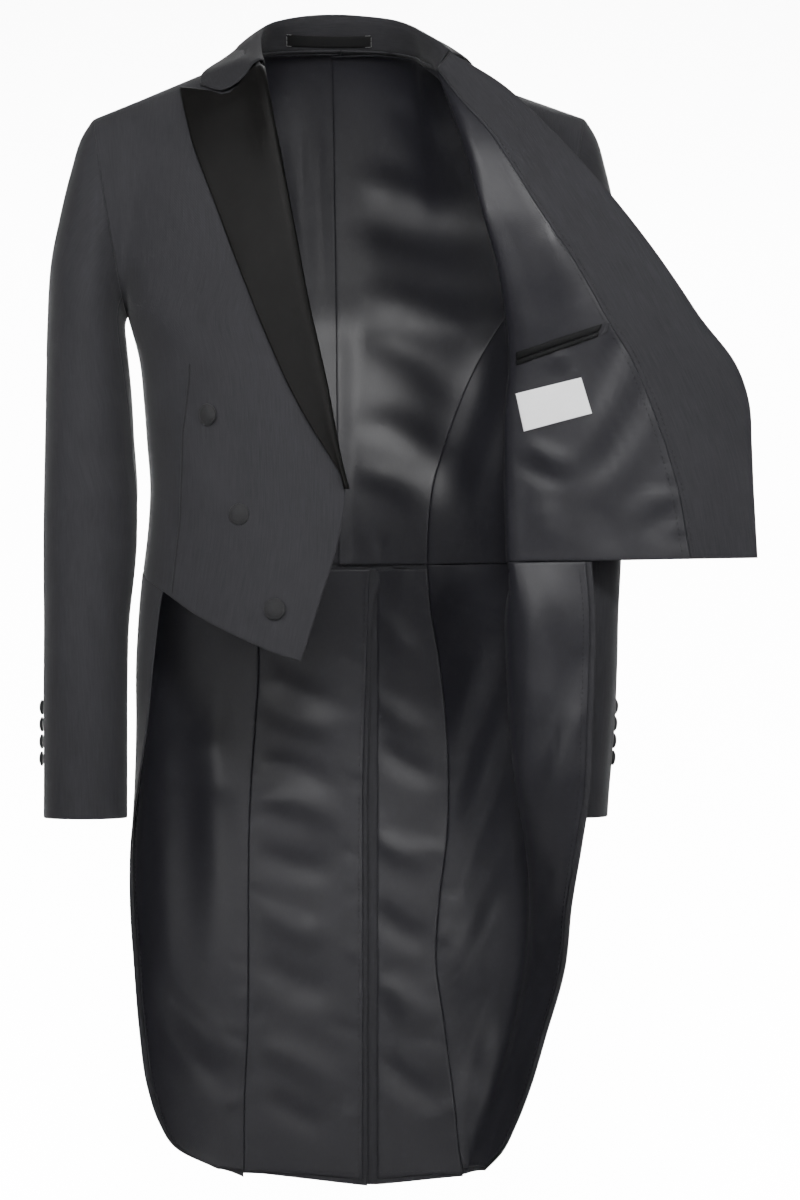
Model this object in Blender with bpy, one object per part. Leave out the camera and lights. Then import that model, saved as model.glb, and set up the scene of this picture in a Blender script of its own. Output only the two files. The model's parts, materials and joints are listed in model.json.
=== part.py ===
"""White tie tailcoat in its worn shape: hollow, closed on the wearer's right and opened out on the left.

Millimetres here, scaled to metres as each piece is made. +Z is up, the front faces -Y and the wearer's
left is +X. The origin is the middle of the neck at shoulder height. Rows of a panel run upwards and its
columns run from the centre of the back round the side to the front edge.
"""

import math

import bmesh
import bpy
import numpy as np
from mathutils import Vector
from mathutils.bvhtree import BVHTree

# Driving dimensions
MM = 0.001
WALL = 2.0
LINING_WALL = 1.0
LAPEL_WALL = 2.2
SEAM_HALF = 0.2
LAYER_GAP = 0.4
LINING_GAP = 1.2
CHEST_Z = -240.0
WAIST_Z = -471.0
HEM_Z = -1066.0
RIGHT_HEM_DIP = 9.0  # how much lower a skirt's hem is at the tail seam than at its front edge
LEFT_HEM_DIP = 6.0
SIDE_Y = 5.0
SHOULDER = (231.0, 5.0, -53.0)
NECK_SIDE = (80.0, 15.0, 9.0)
NECK_DROP_LEFT = 7.0  # the opened front pulls the left side of the neck down by this much
NECK_BACK = (0.0, 74.0, 20.0)
ROLL_NECK = (71.0, -42.0, -8.0)
ARMPIT_OUT = 199.0
ARMHOLE_FRONT = 55.0
ARMHOLE_BACK = 68.0
BUTTON_RADIUS = 10.0
BUTTON_THICK = 4.5
CUFF_BUTTON_RADIUS = 7.0
CUFF_BUTTON_THICK = 3.6
BUTTON_LIFT = 1.0
WAIST_BUTTON_X = 70.0
WAIST_BUTTON_UP = 6.0
FAR_OFF = 900.0  # lines of sight start this far from the middle
STRIP = 6.0  # how far inside a tail's edge its lining starts
TAIL_SEAM = 0.5  # how far each side of a tail lining's seam is drawn in
UNDER_COLLAR = 3.0  # how far below the neck seam a lining ends
PLEAT_RISE = 2.2  # how far the lining's pleat stands clear of the cloth that it laps over
PLEAT_LAP_LOW = 2.0
PLEAT_LAP_HIGH = 9.0
COLLAR_CLEAR = 2.2
COLLAR_LIFT = 0.8
COLLAR_WRAP = 3.0  # how far inside the neck seam the collar's ends wrap
SLEEVE_CLEAR = 0.55
SKIRT_CLEAR = 0.8
VENT_UNDER = 9.0
VENT_STEP = 3.2

# Colours and roughness
WOOL = ((0.030, 0.030, 0.033), 0.85)
SATIN = ((0.014, 0.013, 0.012), 0.45)
TWILL = ((0.035, 0.035, 0.040), 0.40)
COVERED = ((0.040, 0.040, 0.043), 0.70)
WELT = ((0.008, 0.008, 0.009), 0.60)
WHITE = ((0.80, 0.80, 0.80), 0.60)
BLACK = ((0.012, 0.012, 0.013), 0.60)


def table(names, *rows):
    """Named columns, each a list down the rows."""
    return {name: [row[k] for row in rows] for k, name in enumerate(names.split())}


# Half width, front and back of the coat's body by height
TORSO = table(
    "z half front back",
    (-1070, 205, -90, 104),
    (-940, 202, -95, 108),
    (-830, 200, -102, 112),
    (-757, 198, -108, 115),
    (-700, 194, -114, 117),
    (-640, 191, -118, 117),
    (-560, 191, -120, 113),
    (-500, 187, -119, 104),
    (-462, 183, -118, 98),
    (-410, 178, -119, 94),
    (-361, 181, -121, 97),
    (-310, 185, -122, 104),
    (-270, 190, -122, 112),
    (-240, 199, -121, 118),
)
ROUNDNESS = 2.2  # the power of the superellipse that a level section of the body follows

# Height of the waist seam by the angle round the body
WAIST = table(
    "angle z",
    (0, -471), (60, -471), (90, -478), (105, -486), (120, -497), (130, -511),
    (147, -530), (158, -546), (170, -562),
)

# The wearer's right front edge: its place across by height, up to where the lapel rolls at the chest
FRONT_EDGE = table(
    "z x",
    (-562, -33.3), (-524, -21.4), (-471, -4.9), (-430, 6.2), (-409, 8.8), (-391, 4.5),
    (-370, -0.3), (-302, -13.1), (-240, -27.5),
)

# The seam between the back and the side body, as an angle round the body, from waist to chest
BACK_SEAM = table("share angle", (0, 25), (0.25, 27), (0.5, 32), (0.75, 40), (1, 51))
SEAM_TOP = 0.30  # how far up the armhole that seam ends

# The outer, wearer's right, tail: seam to the skirt and front edge of the skirt across, by height
RIGHT_SKIRT = table(
    "z seam edge",
    (-497, -78, 120),
    (-558, -79, 117),
    (-609, -82, 113),
    (-650, -84, 108),
    (-701, -88, 99),
    (-757, -89, 90),
    (-825, -89, 80),
    (-877, -89, 74),
    (-941, -90, 68),
    (-969, -92, 64),
    (-994, -93, 59),
    (-1015, -93, 54),
    (-1033, -93, 47),
    (-1045, -93, 39.5),
    (-1050, -93, 33),
)

# The wearer's left skirt, turned out: seam, side, fold and front edge by height
LEFT_SKIRT = table(
    "z seam side_x side_y fold_x fold_y mid_x mid_y edge_x edge_y",
    (-1056, 118, 121, 92, 124, 90, 127, 87, 130, 84),
    (-1047, 117, 124, 90, 131, 84, 138, 76, 145, 68),
    (-1029, 114, 127, 89, 138, 78, 148, 68, 157, 56),
    (-1005, 112, 134, 87, 148, 71, 159, 57, 168, 44),
    (-969, 108, 146, 85, 160, 60, 171, 44, 181, 26),
    (-916, 101, 160, 80, 172, 50, 184, 30, 196, 8),
    (-834, 92, 172, 72, 186, 36, 200, 12, 216, -15),
    (-767, 100, 178, 62, 184, 14, 200, -14, 221, -35),
    (-701, 106, 183, 50, 172, -22, 198, -56, 233, -62),
    (-640, 104, 186, 38, 164, -34, 196, -64, 235.5, -70),
    (-558, 96, 187, 22, 160, -44, 196, -72, 238, -76),
    (-471, 91, 184, 5, 159.5, -54, 196, -80, 238, -84),
)

# The opened left front by how far up it is: fold, middle and outer edge of the turned sheet
LEFT_FRONT = table(
    "up fold_x fold_y fold_z mid_x mid_y mid_z edge_x edge_y edge_z",
    (0.00, 159.5, -54, -470, 262, -87, -469, 387, -84, -467),
    (0.25, 158, -58, -415, 262, -90, -412, 383, -85, -398),
    (0.46, 157, -65, -340, 262, -95, -338, 379.5, -87, -330),
    (0.55, 161.8, -69, -305, 260, -97, -302, 374, -89, -303),
    (0.70, 159.8, -78, -256, 244, -101, -254, 339, -96, -254),
    (0.80, 151.2, -90, -197, 219, -104, -194, 293, -98, -187.5),
    (0.88, 139, -92, -155, 193, -100, -146, 250, -91, -132),
    (0.94, 121, -76, -90, 152, -80, -75, 186, -69, -61),
    (0.98, 107, -52, -45, 126, -55, -32, 147, -50, -24),
    (1.00, 94, -22, -8, 99, -27, -2, 105, -28, 6),
)
LEFT_CHEST_UP = 0.72  # how far up the opened front the chest line is
FOLD_GAP = 16.0  # half the thickness of the roll where the sheet turns back over the chest

# Sleeve sections from armhole to cuff: outer and inner points as distances out, centre and half depths
SLEEVE = table(
    "out_x out_z in_x in_z mid_y front back turn",
    (231, -53, 199, -240, 5, 55, 68, 0),
    (242, -70, 200.5, -245, 4, 57, 69, 0),
    (252, -102, 201, -250, 3, 59, 68, 0),
    (262, -145, 200.5, -256, 2, 60, 66, 0),
    (269.5, -185, 199.5, -265, 0, 60, 64, 0.01),
    (273, -235, 198, -280, -3, 59, 61, 0.03),
    (275, -290, 195.5, -305, -6, 57, 57, 0.06),
    (276, -350, 192, -355, -9, 56, 54, 0.10),
    (276.5, -410, 188.5, -410, -12, 54, 52, 0.14),
    (276.5, -470, 190, -470, -15, 51, 50, 0.18),
    (276, -530, 196, -530, -19, 48, 47, 0.22),
    (276, -590, 197, -590, -23, 46, 45, 0.26),
    (275.5, -650, 197, -650, -27, 45, 44, 0.28),
    (275.5, -709, 197, -709, -30, 45, 44, 0.30),
)
SLEEVE_LEFT_IN = 23.0  # the outer side of the left arm is this much nearer to the body, by the cuff
SLEEVE_DROP = 30.0  # and the left forearm is this much further back

# Collar by station from the right gorge round the back to the left gorge: where along the neck seam it is
# sewn, from -1 to 1 with the neck sides at -0.6 and 0.6, then its fold, the middle of the fall and its edge
COLLAR = table(
    "at fold_x fold_y fold_z mid_x mid_y mid_z edge_x edge_y edge_z",
    (-1.0, -70, -47, -3, -99, -60, -33.5, -127, -36, -28),
    (-0.92, -73, -32, 6, -99, -38, -17, -126, -22, -19),
    (-0.78, -74, -12, 18, -99, -14, -1, -121, -7, -8),
    (-0.62, -73, 12, 31, -95, 12, 16, -112, 10, 2),
    (-0.46, -67, 32, 39, -87, 36, 26, -101, 38, 8),
    (-0.30, -50, 52, 47, -65, 62, 32, -74, 68, 12),
    (-0.14, -25, 64, 52, -30, 77, 36, -33, 85, 15),
    (0.0, 0, 67, 53, 0, 80, 37, 0, 88, 16),
    (0.14, 25, 64, 51, 31, 77, 35, 34, 85, 14),
    (0.30, 51, 52, 46, 67, 62, 31, 76, 68, 10),
    (0.46, 69, 32, 37, 90, 34, 24, 103, 36, 4),
    (0.62, 79, 12, 29, 99, 14, 18, 115, 12, 1),
    (0.82, 90, -6, 22, 108, 3, 13, 123, 8, -3),
    (1.0, 103, -21, 11, 118, -10, 5, 130, -2, -9),
)

# The outer edge of the closed lapel and its roll line, by height
LAPEL_EDGE = table(
    "z x",
    (-409, 7.0), (-391, 3.2), (-377, -4.9), (-331, -33.3), (-279, -58),
    (-218, -83), (-149, -109), (-83, -133.5), (-50, -142), (-30, -147),
)
LAPEL_TOP = table(  # its top edge by share: roll line, gorge, notch and peak
    "share x z",
    (0, -70.5, -11.5), (0.08, -76.5, -14), (0.25, -89, -28), (0.4, -101, -39), (0.6, -117, -34.5),
    (0.8, -133, -31), (1, -147.5, -28.5),
)
# The other lapel's width, as a share of the opened sheet, by the sheet's row
LEFT_LAPEL = table(
    "row share", (4, 0.02), (6, 0.09), (8, 0.22), (10, 0.30), (12, 0.36), (14, 0.46), (17, 0.50)
)
LAPEL_ROWS_Z = (-404, -391, -375, -345, -310, -270, -230, -190, -150, -115, -85, -62)
LAPEL_COLUMNS = (0, 0.08, 0.25, 0.4, 0.6, 0.8, 1.0)

# Where the facing meets the lining on the opened front, as a share of the way from fold to edge
FACING_SEAM = table(
    "up share",
    (0, 0.735), (0.25, 0.70), (0.46, 0.615), (0.55, 0.56), (0.70, 0.52), (0.80, 0.475), (0.88, 0.42),
    (0.94, 0.36), (0.98, 0.20), (1.0, 0.10),
)

RIGHT_BUTTONS = table("x z", (-118.8, -335), (-89.8, -427), (-57.2, -514))
LEFT_BUTTONS = table("x z", (247, -300), (267, -375), (290, -438))
CUFF_BUTTON_Z = (-606, -622, -638, -654)

# What lies on the opened front's lining: four corners across and up, rows and columns, thickness, look
ON_LINING = (
    ("pocket_welt_lower", ((165, -289), (239, -264), (240, -259.5), (165, -284.5)), (2, 8), 1.6, WELT),
    ("pocket_welt_upper", ((165, -283.8), (240, -258.8), (243, -252), (165, -277)), (2, 8), 1.6, WELT),
    ("pocket_tab", ((242, -262), (248, -260), (250, -250), (245, -251)), (3, 3), 1.4, WOOL),
    ("inner_label", ((172, -350), (234, -334), (224, -301), (164.5, -315)), (4, 6), 0.8, WHITE),
)
NECK_LABEL = ((-51, 22), (30, 22), (30, 32.5), (-51, 32.5))


def read(tab, name, at, key="z"):
    """A column of a table at any value of its key column, along a smooth curve through the rows."""
    keys = np.array(tab[key], float)
    values = np.array(tab[name], float)
    order = np.argsort(keys)
    keys, values = keys[order], values[order]
    at = min(max(at, keys[0]), keys[-1])
    k = min(int(np.searchsorted(keys, at, side="right")) - 1, len(keys) - 2)
    steps = np.diff(values) / np.diff(keys)
    slopes = np.empty(len(keys))
    slopes[0], slopes[-1] = steps[0], steps[-1]
    slopes[1:-1] = np.where(
        steps[:-1] * steps[1:] > 0,
        2 * steps[:-1] * steps[1:] / np.where(steps[:-1] + steps[1:] == 0, 1, steps[:-1] + steps[1:]),
        0.0,
    )
    span = keys[k + 1] - keys[k]
    u = (at - keys[k]) / span
    return (
        (2 * u**3 - 3 * u**2 + 1) * values[k]
        + (u**3 - 2 * u**2 + u) * span * slopes[k]
        + (-2 * u**3 + 3 * u**2) * values[k + 1]
        + (u**3 - u**2) * span * slopes[k + 1]
    )


def mix(a, b, share):
    """The point that share of the way from a to b."""
    return np.asarray(a, float) + (np.asarray(b, float) - np.asarray(a, float)) * share


def spline(points, shares):
    """Points at those shares of the length of a smooth curve through the given ones."""
    points = np.array(points, float)
    ends = np.vstack([2 * points[0] - points[1], points, 2 * points[-1] - points[-2]])
    fine = []
    for k in range(len(points) - 1):
        a, b, c, d = ends[k : k + 4]
        for u in np.linspace(0, 1, 16, endpoint=False):
            squared = (2 * a - 5 * b + 4 * c - d) * u**2
            cubed = (3 * b - a - 3 * c + d) * u**3
            fine.append((2 * b + (c - a) * u + squared + cubed) / 2)
    fine = np.array(fine + [points[-1]])
    along = np.concatenate([[0], np.cumsum(np.linalg.norm(np.diff(fine, axis=0), axis=1))])
    along /= along[-1]
    return np.stack([np.interp(shares, along, fine[:, k]) for k in range(3)], axis=1)


def mirrored(point, side):
    """A point given for the wearer's left, put on the side asked for: 1 left, -1 right."""
    return np.array([point[0] * side, point[1], point[2]], float)


def ring(z, angle, side):
    """The body of the coat at a height: angle 0 is the centre of the back, 90 the side, 180 the front."""
    across = math.sin(math.radians(angle))
    along = math.cos(math.radians(angle))
    reach = read(TORSO, "back" if along > 0 else "front", z) - SIDE_Y
    x = read(TORSO, "half", z) * math.copysign(abs(across) ** (2 / ROUNDNESS), across)
    return np.array([side * x, SIDE_Y + reach * abs(along) ** (2 / ROUNDNESS), z])


def angle_of(x, z, front):
    """The angle round the body of a place across, counted towards the front where asked."""
    share = min(abs(x) / read(TORSO, "half", z), 1.0)
    angle = math.degrees(math.asin(share ** (ROUNDNESS / 2)))
    return 180 - angle if front else angle


def waist_z(angle):
    return read(WAIST, "z", angle, "angle")


def front_angle(z):
    """The angle of the closed front's edge, past 180 where it crosses the middle."""
    x = read(FRONT_EDGE, "x", z)
    return 180 - math.copysign(180 - angle_of(x, z, True), -x)


def armhole(turn, side, towards):
    """A point of the armhole: turn 0 is the armpit, 1 the shoulder point, on the front or the back half."""
    bottom = mirrored((ARMPIT_OUT, SIDE_Y, CHEST_Z), side)
    point = mix(bottom, mirrored(SHOULDER, side), (1 - math.cos(math.pi * turn)) / 2)
    point[1] += towards * math.sin(math.pi * turn)
    return point


def top_line(s, side, back):
    """The neck seam and then the shoulder seam, from the middle (s 0) to the armhole (s 1)."""
    neck = mirrored(NECK_SIDE, side)
    if side > 0:
        neck[2] -= NECK_DROP_LEFT
    start_at = BACK_NECK_SHARE if back else FRONT_NECK_SHARE
    if s >= start_at:
        return mix(neck, mirrored(SHOULDER, side), (s - start_at) / (1 - start_at))
    share = s / start_at
    if back:
        low = mirrored(NECK_BACK, side)
        turn = share * math.pi / 2
        return np.array([
            neck[0] * math.sin(turn),
            neck[1] + (low[1] - neck[1]) * math.cos(turn),
            neck[2] + (low[2] - neck[2]) * math.cos(turn),
        ])
    return mix(mirrored(ROLL_NECK, side), neck, share)


def yoke(s, t, side, back):
    """The coat above the armpits, from the chest (t 0) to the neck and shoulder seam (t 1)."""
    bottom = ring(CHEST_Z, 90 * s if back else front_angle(CHEST_Z) + (90 - front_angle(CHEST_Z)) * s, side)
    top = top_line(s, side, back)
    rise = math.sin(math.pi / 2 * t)
    lean = math.cos(math.pi / 2 * t) ** 0.75 if t < 1 else 0.0
    rolled = np.array([
        bottom[0] + (top[0] - bottom[0]) * rise,
        top[1] + (bottom[1] - top[1]) * lean,
        bottom[2] + (top[2] - bottom[2]) * rise,
    ])
    hooped = mix(bottom, top, (1 - math.cos(math.pi * t)) / 2)
    hooped[1] += (ARMHOLE_BACK if back else -ARMHOLE_FRONT) * math.sin(math.pi * t)
    return mix(rolled, hooped, s**4)


BACK_NECK_SHARE = 0.34
FRONT_NECK_SHARE = 0.18
LOWER_ROWS = np.linspace(0, 1, 7)
YOKE_ROWS = np.array([0.10, 0.20, 0.28, SEAM_TOP, 0.46, 0.58, 0.70, 0.81, 0.91, 1.0])
FRONT_YOKE_ROWS = np.array([0.10, 0.20, 0.32, 0.45, 0.58, 0.70, 0.81, 0.91, 1.0])
TAIL_ROWS_Z = (-1066, -1051, -1031, -1004, -969, -916, -852, -790, -735, -680, -625, -565, -510)
SHOULDER_STEPS = np.array([0, 0.268, 0.543, 0.771, 1.0])  # where columns end along the shoulder seam
BACK_COLUMNS = np.concatenate(
    [[0, 0.09, 0.18, 0.26], BACK_NECK_SHARE + (1 - BACK_NECK_SHARE) * SHOULDER_STEPS]
)
SIDE_COLUMNS = np.linspace(0, 1, 5)
FRONT_COLUMNS = np.concatenate([(1 - FRONT_NECK_SHARE) * (1 - SHOULDER_STEPS[::-1]), [0.91, 1.0]])
SHEET_STEPS = np.array([0, 0.16, 0.32, 0.47, 0.73, 1.0])  # from the fold to the facing seam
FOLD_COLUMN = 6
SKIRT_EDGE_COLUMN = 9
FACING_COLUMN = 11
EDGE_COLUMN = 14
LAPPED_COLUMN = 2  # the left tail's lining starts at this column, clear of the right tail's edge
LAPPED_X = 36.0
NECK_SIDE_AT = 0.6
STAND_SHARES = (0, 0.45, 0.85)
FALL_SHARES = (0, 0.1, 0.32, 0.6, 1)


def seam_share(t):
    """The back seam above the chest, as a share of the way from the centre back to the armhole."""
    start = BACK_SEAM["angle"][-1] / 90
    return start + (0.994 - start) * min(t / SEAM_TOP, 1.0) ** 0.9


def back_seam_angle(share):
    return read(BACK_SEAM, "angle", share, "share")


def tail_seam_x(z, side):
    """Where the tail's side seam is across, below the waist."""
    waist = abs(ring(WAIST_Z, back_seam_angle(0), side)[0])
    at = -read(RIGHT_SKIRT, "seam", z) if side < 0 else read(LEFT_SKIRT, "seam", z)
    blend = min(max((WAIST_Z - z) / 90, 0), 1)
    return waist + (at - waist) * blend * blend * (3 - 2 * blend)


def hem_z(x):
    """The hem's height, lowest at the vent and lifting towards each tail's side."""
    return HEM_Z - 3 + 13 * min(abs(x - 26) / 110, 1.0) ** 1.1


def tail_point(z, x, side):
    """A point of the tail at a height and a place across, the left tail stepped back behind the right."""
    angle = angle_of(x, z, False)
    point = ring(z, math.copysign(angle, x * side), side)
    if side > 0:
        ramp = min(max((62 - x) / 26, 0), 1)
        point[1] += VENT_STEP * ramp * ramp * (3 - 2 * ramp) * min(max((WAIST_Z + 6 - z) / 9, 0), 1)
    return point


def back_panel(side):
    """Centre back from hem to neck. The right tail reaches past the middle, over the left one."""
    rows = []
    for z in TAIL_ROWS_Z + (WAIST_Z - 5.0, WAIST_Z - 3.2):
        lapped = z < WAIST_Z - 4
        vent = 33 - 7 * min((WAIST_Z - z) / 200, 1) if side < 0 else -VENT_UNDER
        inner = vent if lapped else 0.0
        outer = side * tail_seam_x(z, side)
        spread = inner + (outer - inner) * BACK_COLUMNS
        if side > 0 and lapped:
            spread[LAPPED_COLUMN:] = np.linspace(LAPPED_X, outer, len(BACK_COLUMNS) - LAPPED_COLUMN)
        rows.append([tail_point(z if z != TAIL_ROWS_Z[0] else hem_z(x), x, side) for x in spread])
    for share in LOWER_ROWS:
        edge = back_seam_angle(share)
        row = []
        for u in BACK_COLUMNS:
            z = waist_z(edge * u)
            row.append(ring(z + (CHEST_Z - z) * share, edge * u, side))
        rows.append(row)
    for t in YOKE_ROWS:
        edge = seam_share(t) if t <= SEAM_TOP else 1.0
        rows.append([yoke(edge * u, t, side, True) for u in BACK_COLUMNS])
    return np.array(rows)


def side_body(side):
    """From the back seam to the side seam, waist to armhole."""
    rows = []
    for share in LOWER_ROWS:
        start = back_seam_angle(share)
        row = []
        for u in SIDE_COLUMNS:
            base = back_seam_angle(0) + (90 - back_seam_angle(0)) * u
            z = waist_z(base)
            row.append(ring(z + (CHEST_Z - z) * share, start + (90 - start) * u, side))
        rows.append(row)
    for t in YOKE_ROWS[:4]:
        start = seam_share(t)
        rows.append([yoke(start + (1 - start) * u, t, side, True) for u in SIDE_COLUMNS])
    return np.array(rows)


def right_front():
    """The closed front, side seam to front edge and roll line."""
    tip = front_angle(WAIST["z"][-1])
    rows = []
    for share in LOWER_ROWS:
        edge_z = WAIST["z"][-1] + (CHEST_Z - WAIST["z"][-1]) * share
        edge = front_angle(edge_z)
        row = []
        for u in FRONT_COLUMNS:
            low = waist_z(90 + (tip - 90) * u) if u < 1 else WAIST["z"][-1]
            row.append(ring(low + (CHEST_Z - low) * share, 90 + (edge - 90) * u, -1))
        rows.append(row)
    for t in FRONT_YOKE_ROWS:
        rows.append([yoke(1 - u, t, -1, False) for u in FRONT_COLUMNS])
    return np.array(rows)


def right_skirt():
    """Waist seam to hem on the closed side, tail seam to cutaway front edge."""
    tip = front_angle(WAIST["z"][-1])
    back = [back_seam_angle(0) + (90 - back_seam_angle(0)) * u for u in SIDE_COLUMNS]
    front = [90 + (tip - 90) * u for u in FRONT_COLUMNS[1:3]]
    angles = np.array(back + front)
    shares = (angles - angles[0]) / (angles[-1] - angles[0])
    rows = []
    for z in TAIL_ROWS_Z[1:]:
        start = angle_of(tail_seam_x(z, -1), z, False)
        stop = read(RIGHT_SKIRT, "edge", z)
        row = []
        for share in shares:
            low = z if z > TAIL_ROWS_Z[2] else z - RIGHT_HEM_DIP * (1 - share) ** 1.5
            row.append(ring(low, start + (stop - start) * share, -1))
        rows.append(row)
    rows.append([ring(waist_z(angle), angle, -1) for angle in angles])
    return np.array(rows)


def left_section(z, shares):
    """The turned-out left skirt at a height: tail seam, side, fold, middle and edge."""
    seam = tail_point(z, tail_seam_x(z, 1), 1)
    guides = [seam]
    for name in ("side", "fold", "mid", "edge"):
        guides.append([read(LEFT_SKIRT, name + "_x", z), read(LEFT_SKIRT, name + "_y", z), z])
    guides[0][2] = z
    return spline(guides, shares)


def left_skirt(front):
    """Waist seam to hem on the opened side. Its top row takes the points of the panels sewn above it."""
    body = [ring(waist_z(angle), angle, 1) for angle in
            (back_seam_angle(0) + (90 - back_seam_angle(0)) * u for u in SIDE_COLUMNS)]
    top = np.array(body + list(front[0][1 : SKIRT_EDGE_COLUMN + 1]))
    along = np.concatenate([[0], np.cumsum(np.linalg.norm(np.diff(top, axis=0), axis=1))])
    shares = along / along[-1]
    rows = []
    for z in TAIL_ROWS_Z[1:]:
        row = left_section(z, shares)
        if z < TAIL_ROWS_Z[2]:
            row[:, 2] -= LEFT_HEM_DIP * (1 - shares) ** 1.5
        rows.append(row)
    rows.append(top)
    return np.array(rows)


def left_ups():
    """How far up each row of the opened front is."""
    return np.concatenate([LOWER_ROWS * LEFT_CHEST_UP, LEFT_CHEST_UP + (1 - LEFT_CHEST_UP) * FRONT_YOKE_ROWS])


def left_front():
    """The opened front: out of the side seam and armhole, round the fold, out to the roll line and edge."""
    rows = []
    for k, up in enumerate(left_ups()):
        fold, mid, edge = (
            np.array([read(LEFT_FRONT, f"{name}_{axis}", up, "up") for axis in "xyz"])
            for name in ("fold", "mid", "edge")
        )
        turn = min(max((up - 0.55) / 0.25, 0), 1) * (1 - max((up - 0.94) / 0.06, 0) * 0.6)
        behind = fold + [9 + 4 * turn, 8 + (FOLD_GAP - 4) * turn, 0]
        if k < len(LOWER_ROWS):
            share = LOWER_ROWS[k]
            low = waist_z(90)
            start = ring(low + (CHEST_Z - low) * share, 90, 1)
            lead = [start, mix(start, behind, 0.5) + [5, -4 - 6 * share, 0]]
        elif up < 1:
            t = FRONT_YOKE_ROWS[k - len(LOWER_ROWS)]
            start = yoke(1, t, 1, False)
            seam = mix(top_line(FRONT_NECK_SHARE, 1, False), mirrored(SHOULDER, 1), 0.5)
            bulge = [0, -10 * math.sin(math.pi * t), 0]
            middle = mix(start, behind, 0.5) + bulge
            lead = [start, mix(middle, seam, max(t - 0.75, 0) * 1.6)]
        else:
            neck = top_line(FRONT_NECK_SHARE, 1, False)
            lead = [mirrored(SHOULDER, 1), mix(SHOULDER, neck, 0.5), neck]
            behind = mix(neck, fold, 0.6) + [1, 2, 0]
        row_back = spline(lead + [behind, fold], np.linspace(0, 1, FOLD_COLUMN + 1))
        if up == 1:
            count = len(SHOULDER_STEPS)
            row_back[:count] = [mix(neck, SHOULDER, step) for step in SHOULDER_STEPS[::-1]]
            left_over = FOLD_COLUMN + 1 - count
            row_back[count:] = [mix(neck, fold, (j + 1) / left_over) for j in range(left_over)]
        seam_at = read(FACING_SEAM, "share", up, "up")
        shares = np.concatenate([
            SHEET_STEPS * seam_at,
            np.linspace(seam_at, 1, EDGE_COLUMN - FACING_COLUMN + 1)[1:],
        ])
        ahead = mix(fold, mid, 0.2) + [0, -5, 0]
        row_front = spline([fold, ahead, mid, edge], shares)
        rows.append(np.vstack([row_back, row_front[1:]]))
    return np.array(rows)


def sleeve_point(section, turn, side):
    """A point of a sleeve section: turn runs 0 to 2 from the inner point by the front, over, and back."""
    col = {name: values[section] for name, values in SLEEVE.items()}
    share = section / (len(SLEEVE["out_x"]) - 1)
    nearer = SLEEVE_LEFT_IN * share * share if side > 0 else 0.0
    outer = np.array([col["out_x"] - nearer, 0, col["out_z"]])
    inner = np.array([col["in_x"], 0, col["in_z"]])
    turn = turn - col["turn"]
    point = mix(inner, outer, (1 - math.cos(math.pi * turn)) / 2)
    rise = math.sin(math.pi * turn)
    point[1] = col["mid_y"] - (col["front"] if rise > 0 else col["back"]) * rise
    if side > 0:
        point[1] += SLEEVE_DROP * share
    return mirrored(point, side)


def sleeve_turns():
    """Where round the armhole the body's panels have their points, so that the sleeve meets them."""
    return [0.0] + list(FRONT_YOKE_ROWS) + [2 - t for t in reversed(YOKE_ROWS[:-1])] + [2.0]


FRONT_SLEEVE_SEAM = 2
BACK_SLEEVE_SEAM = 13


def sleeve(side, top):
    """Top sleeve from the front seam over to the back seam, or under sleeve the rest of the way round."""
    turns = sleeve_turns()
    if top:
        chosen = turns[FRONT_SLEEVE_SEAM : BACK_SLEEVE_SEAM + 1]
    else:
        chosen = turns[BACK_SLEEVE_SEAM:-1] + [turn + 2 for turn in turns[: FRONT_SLEEVE_SEAM + 1]]
    sections = range(len(SLEEVE["out_x"]))
    return np.array([[sleeve_point(k, turn % 2, side) for turn in chosen] for k in sections])


def normals_of(grid, sign):
    """Unit directions out of the cloth at each point of a panel."""
    across = np.cross(np.gradient(grid, axis=0), np.gradient(grid, axis=1))
    return sign * across / np.maximum(np.linalg.norm(across, axis=2, keepdims=True), 1e-9)


def share_normals(panels):
    """Gives points where panels meet one common direction, so that the cut edges stay parallel."""
    sums = {}
    for grid, normals in panels.values():
        for point, normal in zip(grid.reshape(-1, 3), normals.reshape(-1, 3)):
            key = tuple(np.round(point, 1))
            sums[key] = sums.get(key, 0) + normal
    for grid, normals in panels.values():
        flat = normals.reshape(-1, 3)
        for k, point in enumerate(grid.reshape(-1, 3)):
            total = sums[tuple(np.round(point, 1))]
            if np.linalg.norm(total) > 0.2:
                flat[k] = total / np.linalg.norm(total)


def trimmed(grid, by):
    """The panel with its edges drawn in: at the bottom, top, first column and last column, or all alike."""
    sides = by if isinstance(by, tuple) else (by,) * 4
    result = grid.copy()
    for axis in (0, 1):
        before = np.moveaxis(grid, axis, 0)
        after = np.moveaxis(result, axis, 0)
        for end, beside, width in ((0, 1, sides[2 * axis]), (-1, -2, sides[2 * axis + 1])):
            step = before[beside] - before[end]
            length = np.maximum(np.linalg.norm(step, axis=-1, keepdims=True), 1e-6)
            after[end] += step / length * np.minimum(width, length * 0.45)
    return result


def collection(name):
    made = bpy.data.collections.new(name)
    bpy.context.scene.collection.children.link(made)
    return made


def material(name, look):
    colour, rough = look
    made = bpy.data.materials.new(name)
    made.use_nodes = True
    shader = made.node_tree.nodes["Principled BSDF"]
    shader.inputs["Base Color"].default_value = (*colour, 1)
    shader.inputs["Roughness"].default_value = rough
    shader.inputs["Metallic"].default_value = 0.0
    return made


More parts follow.
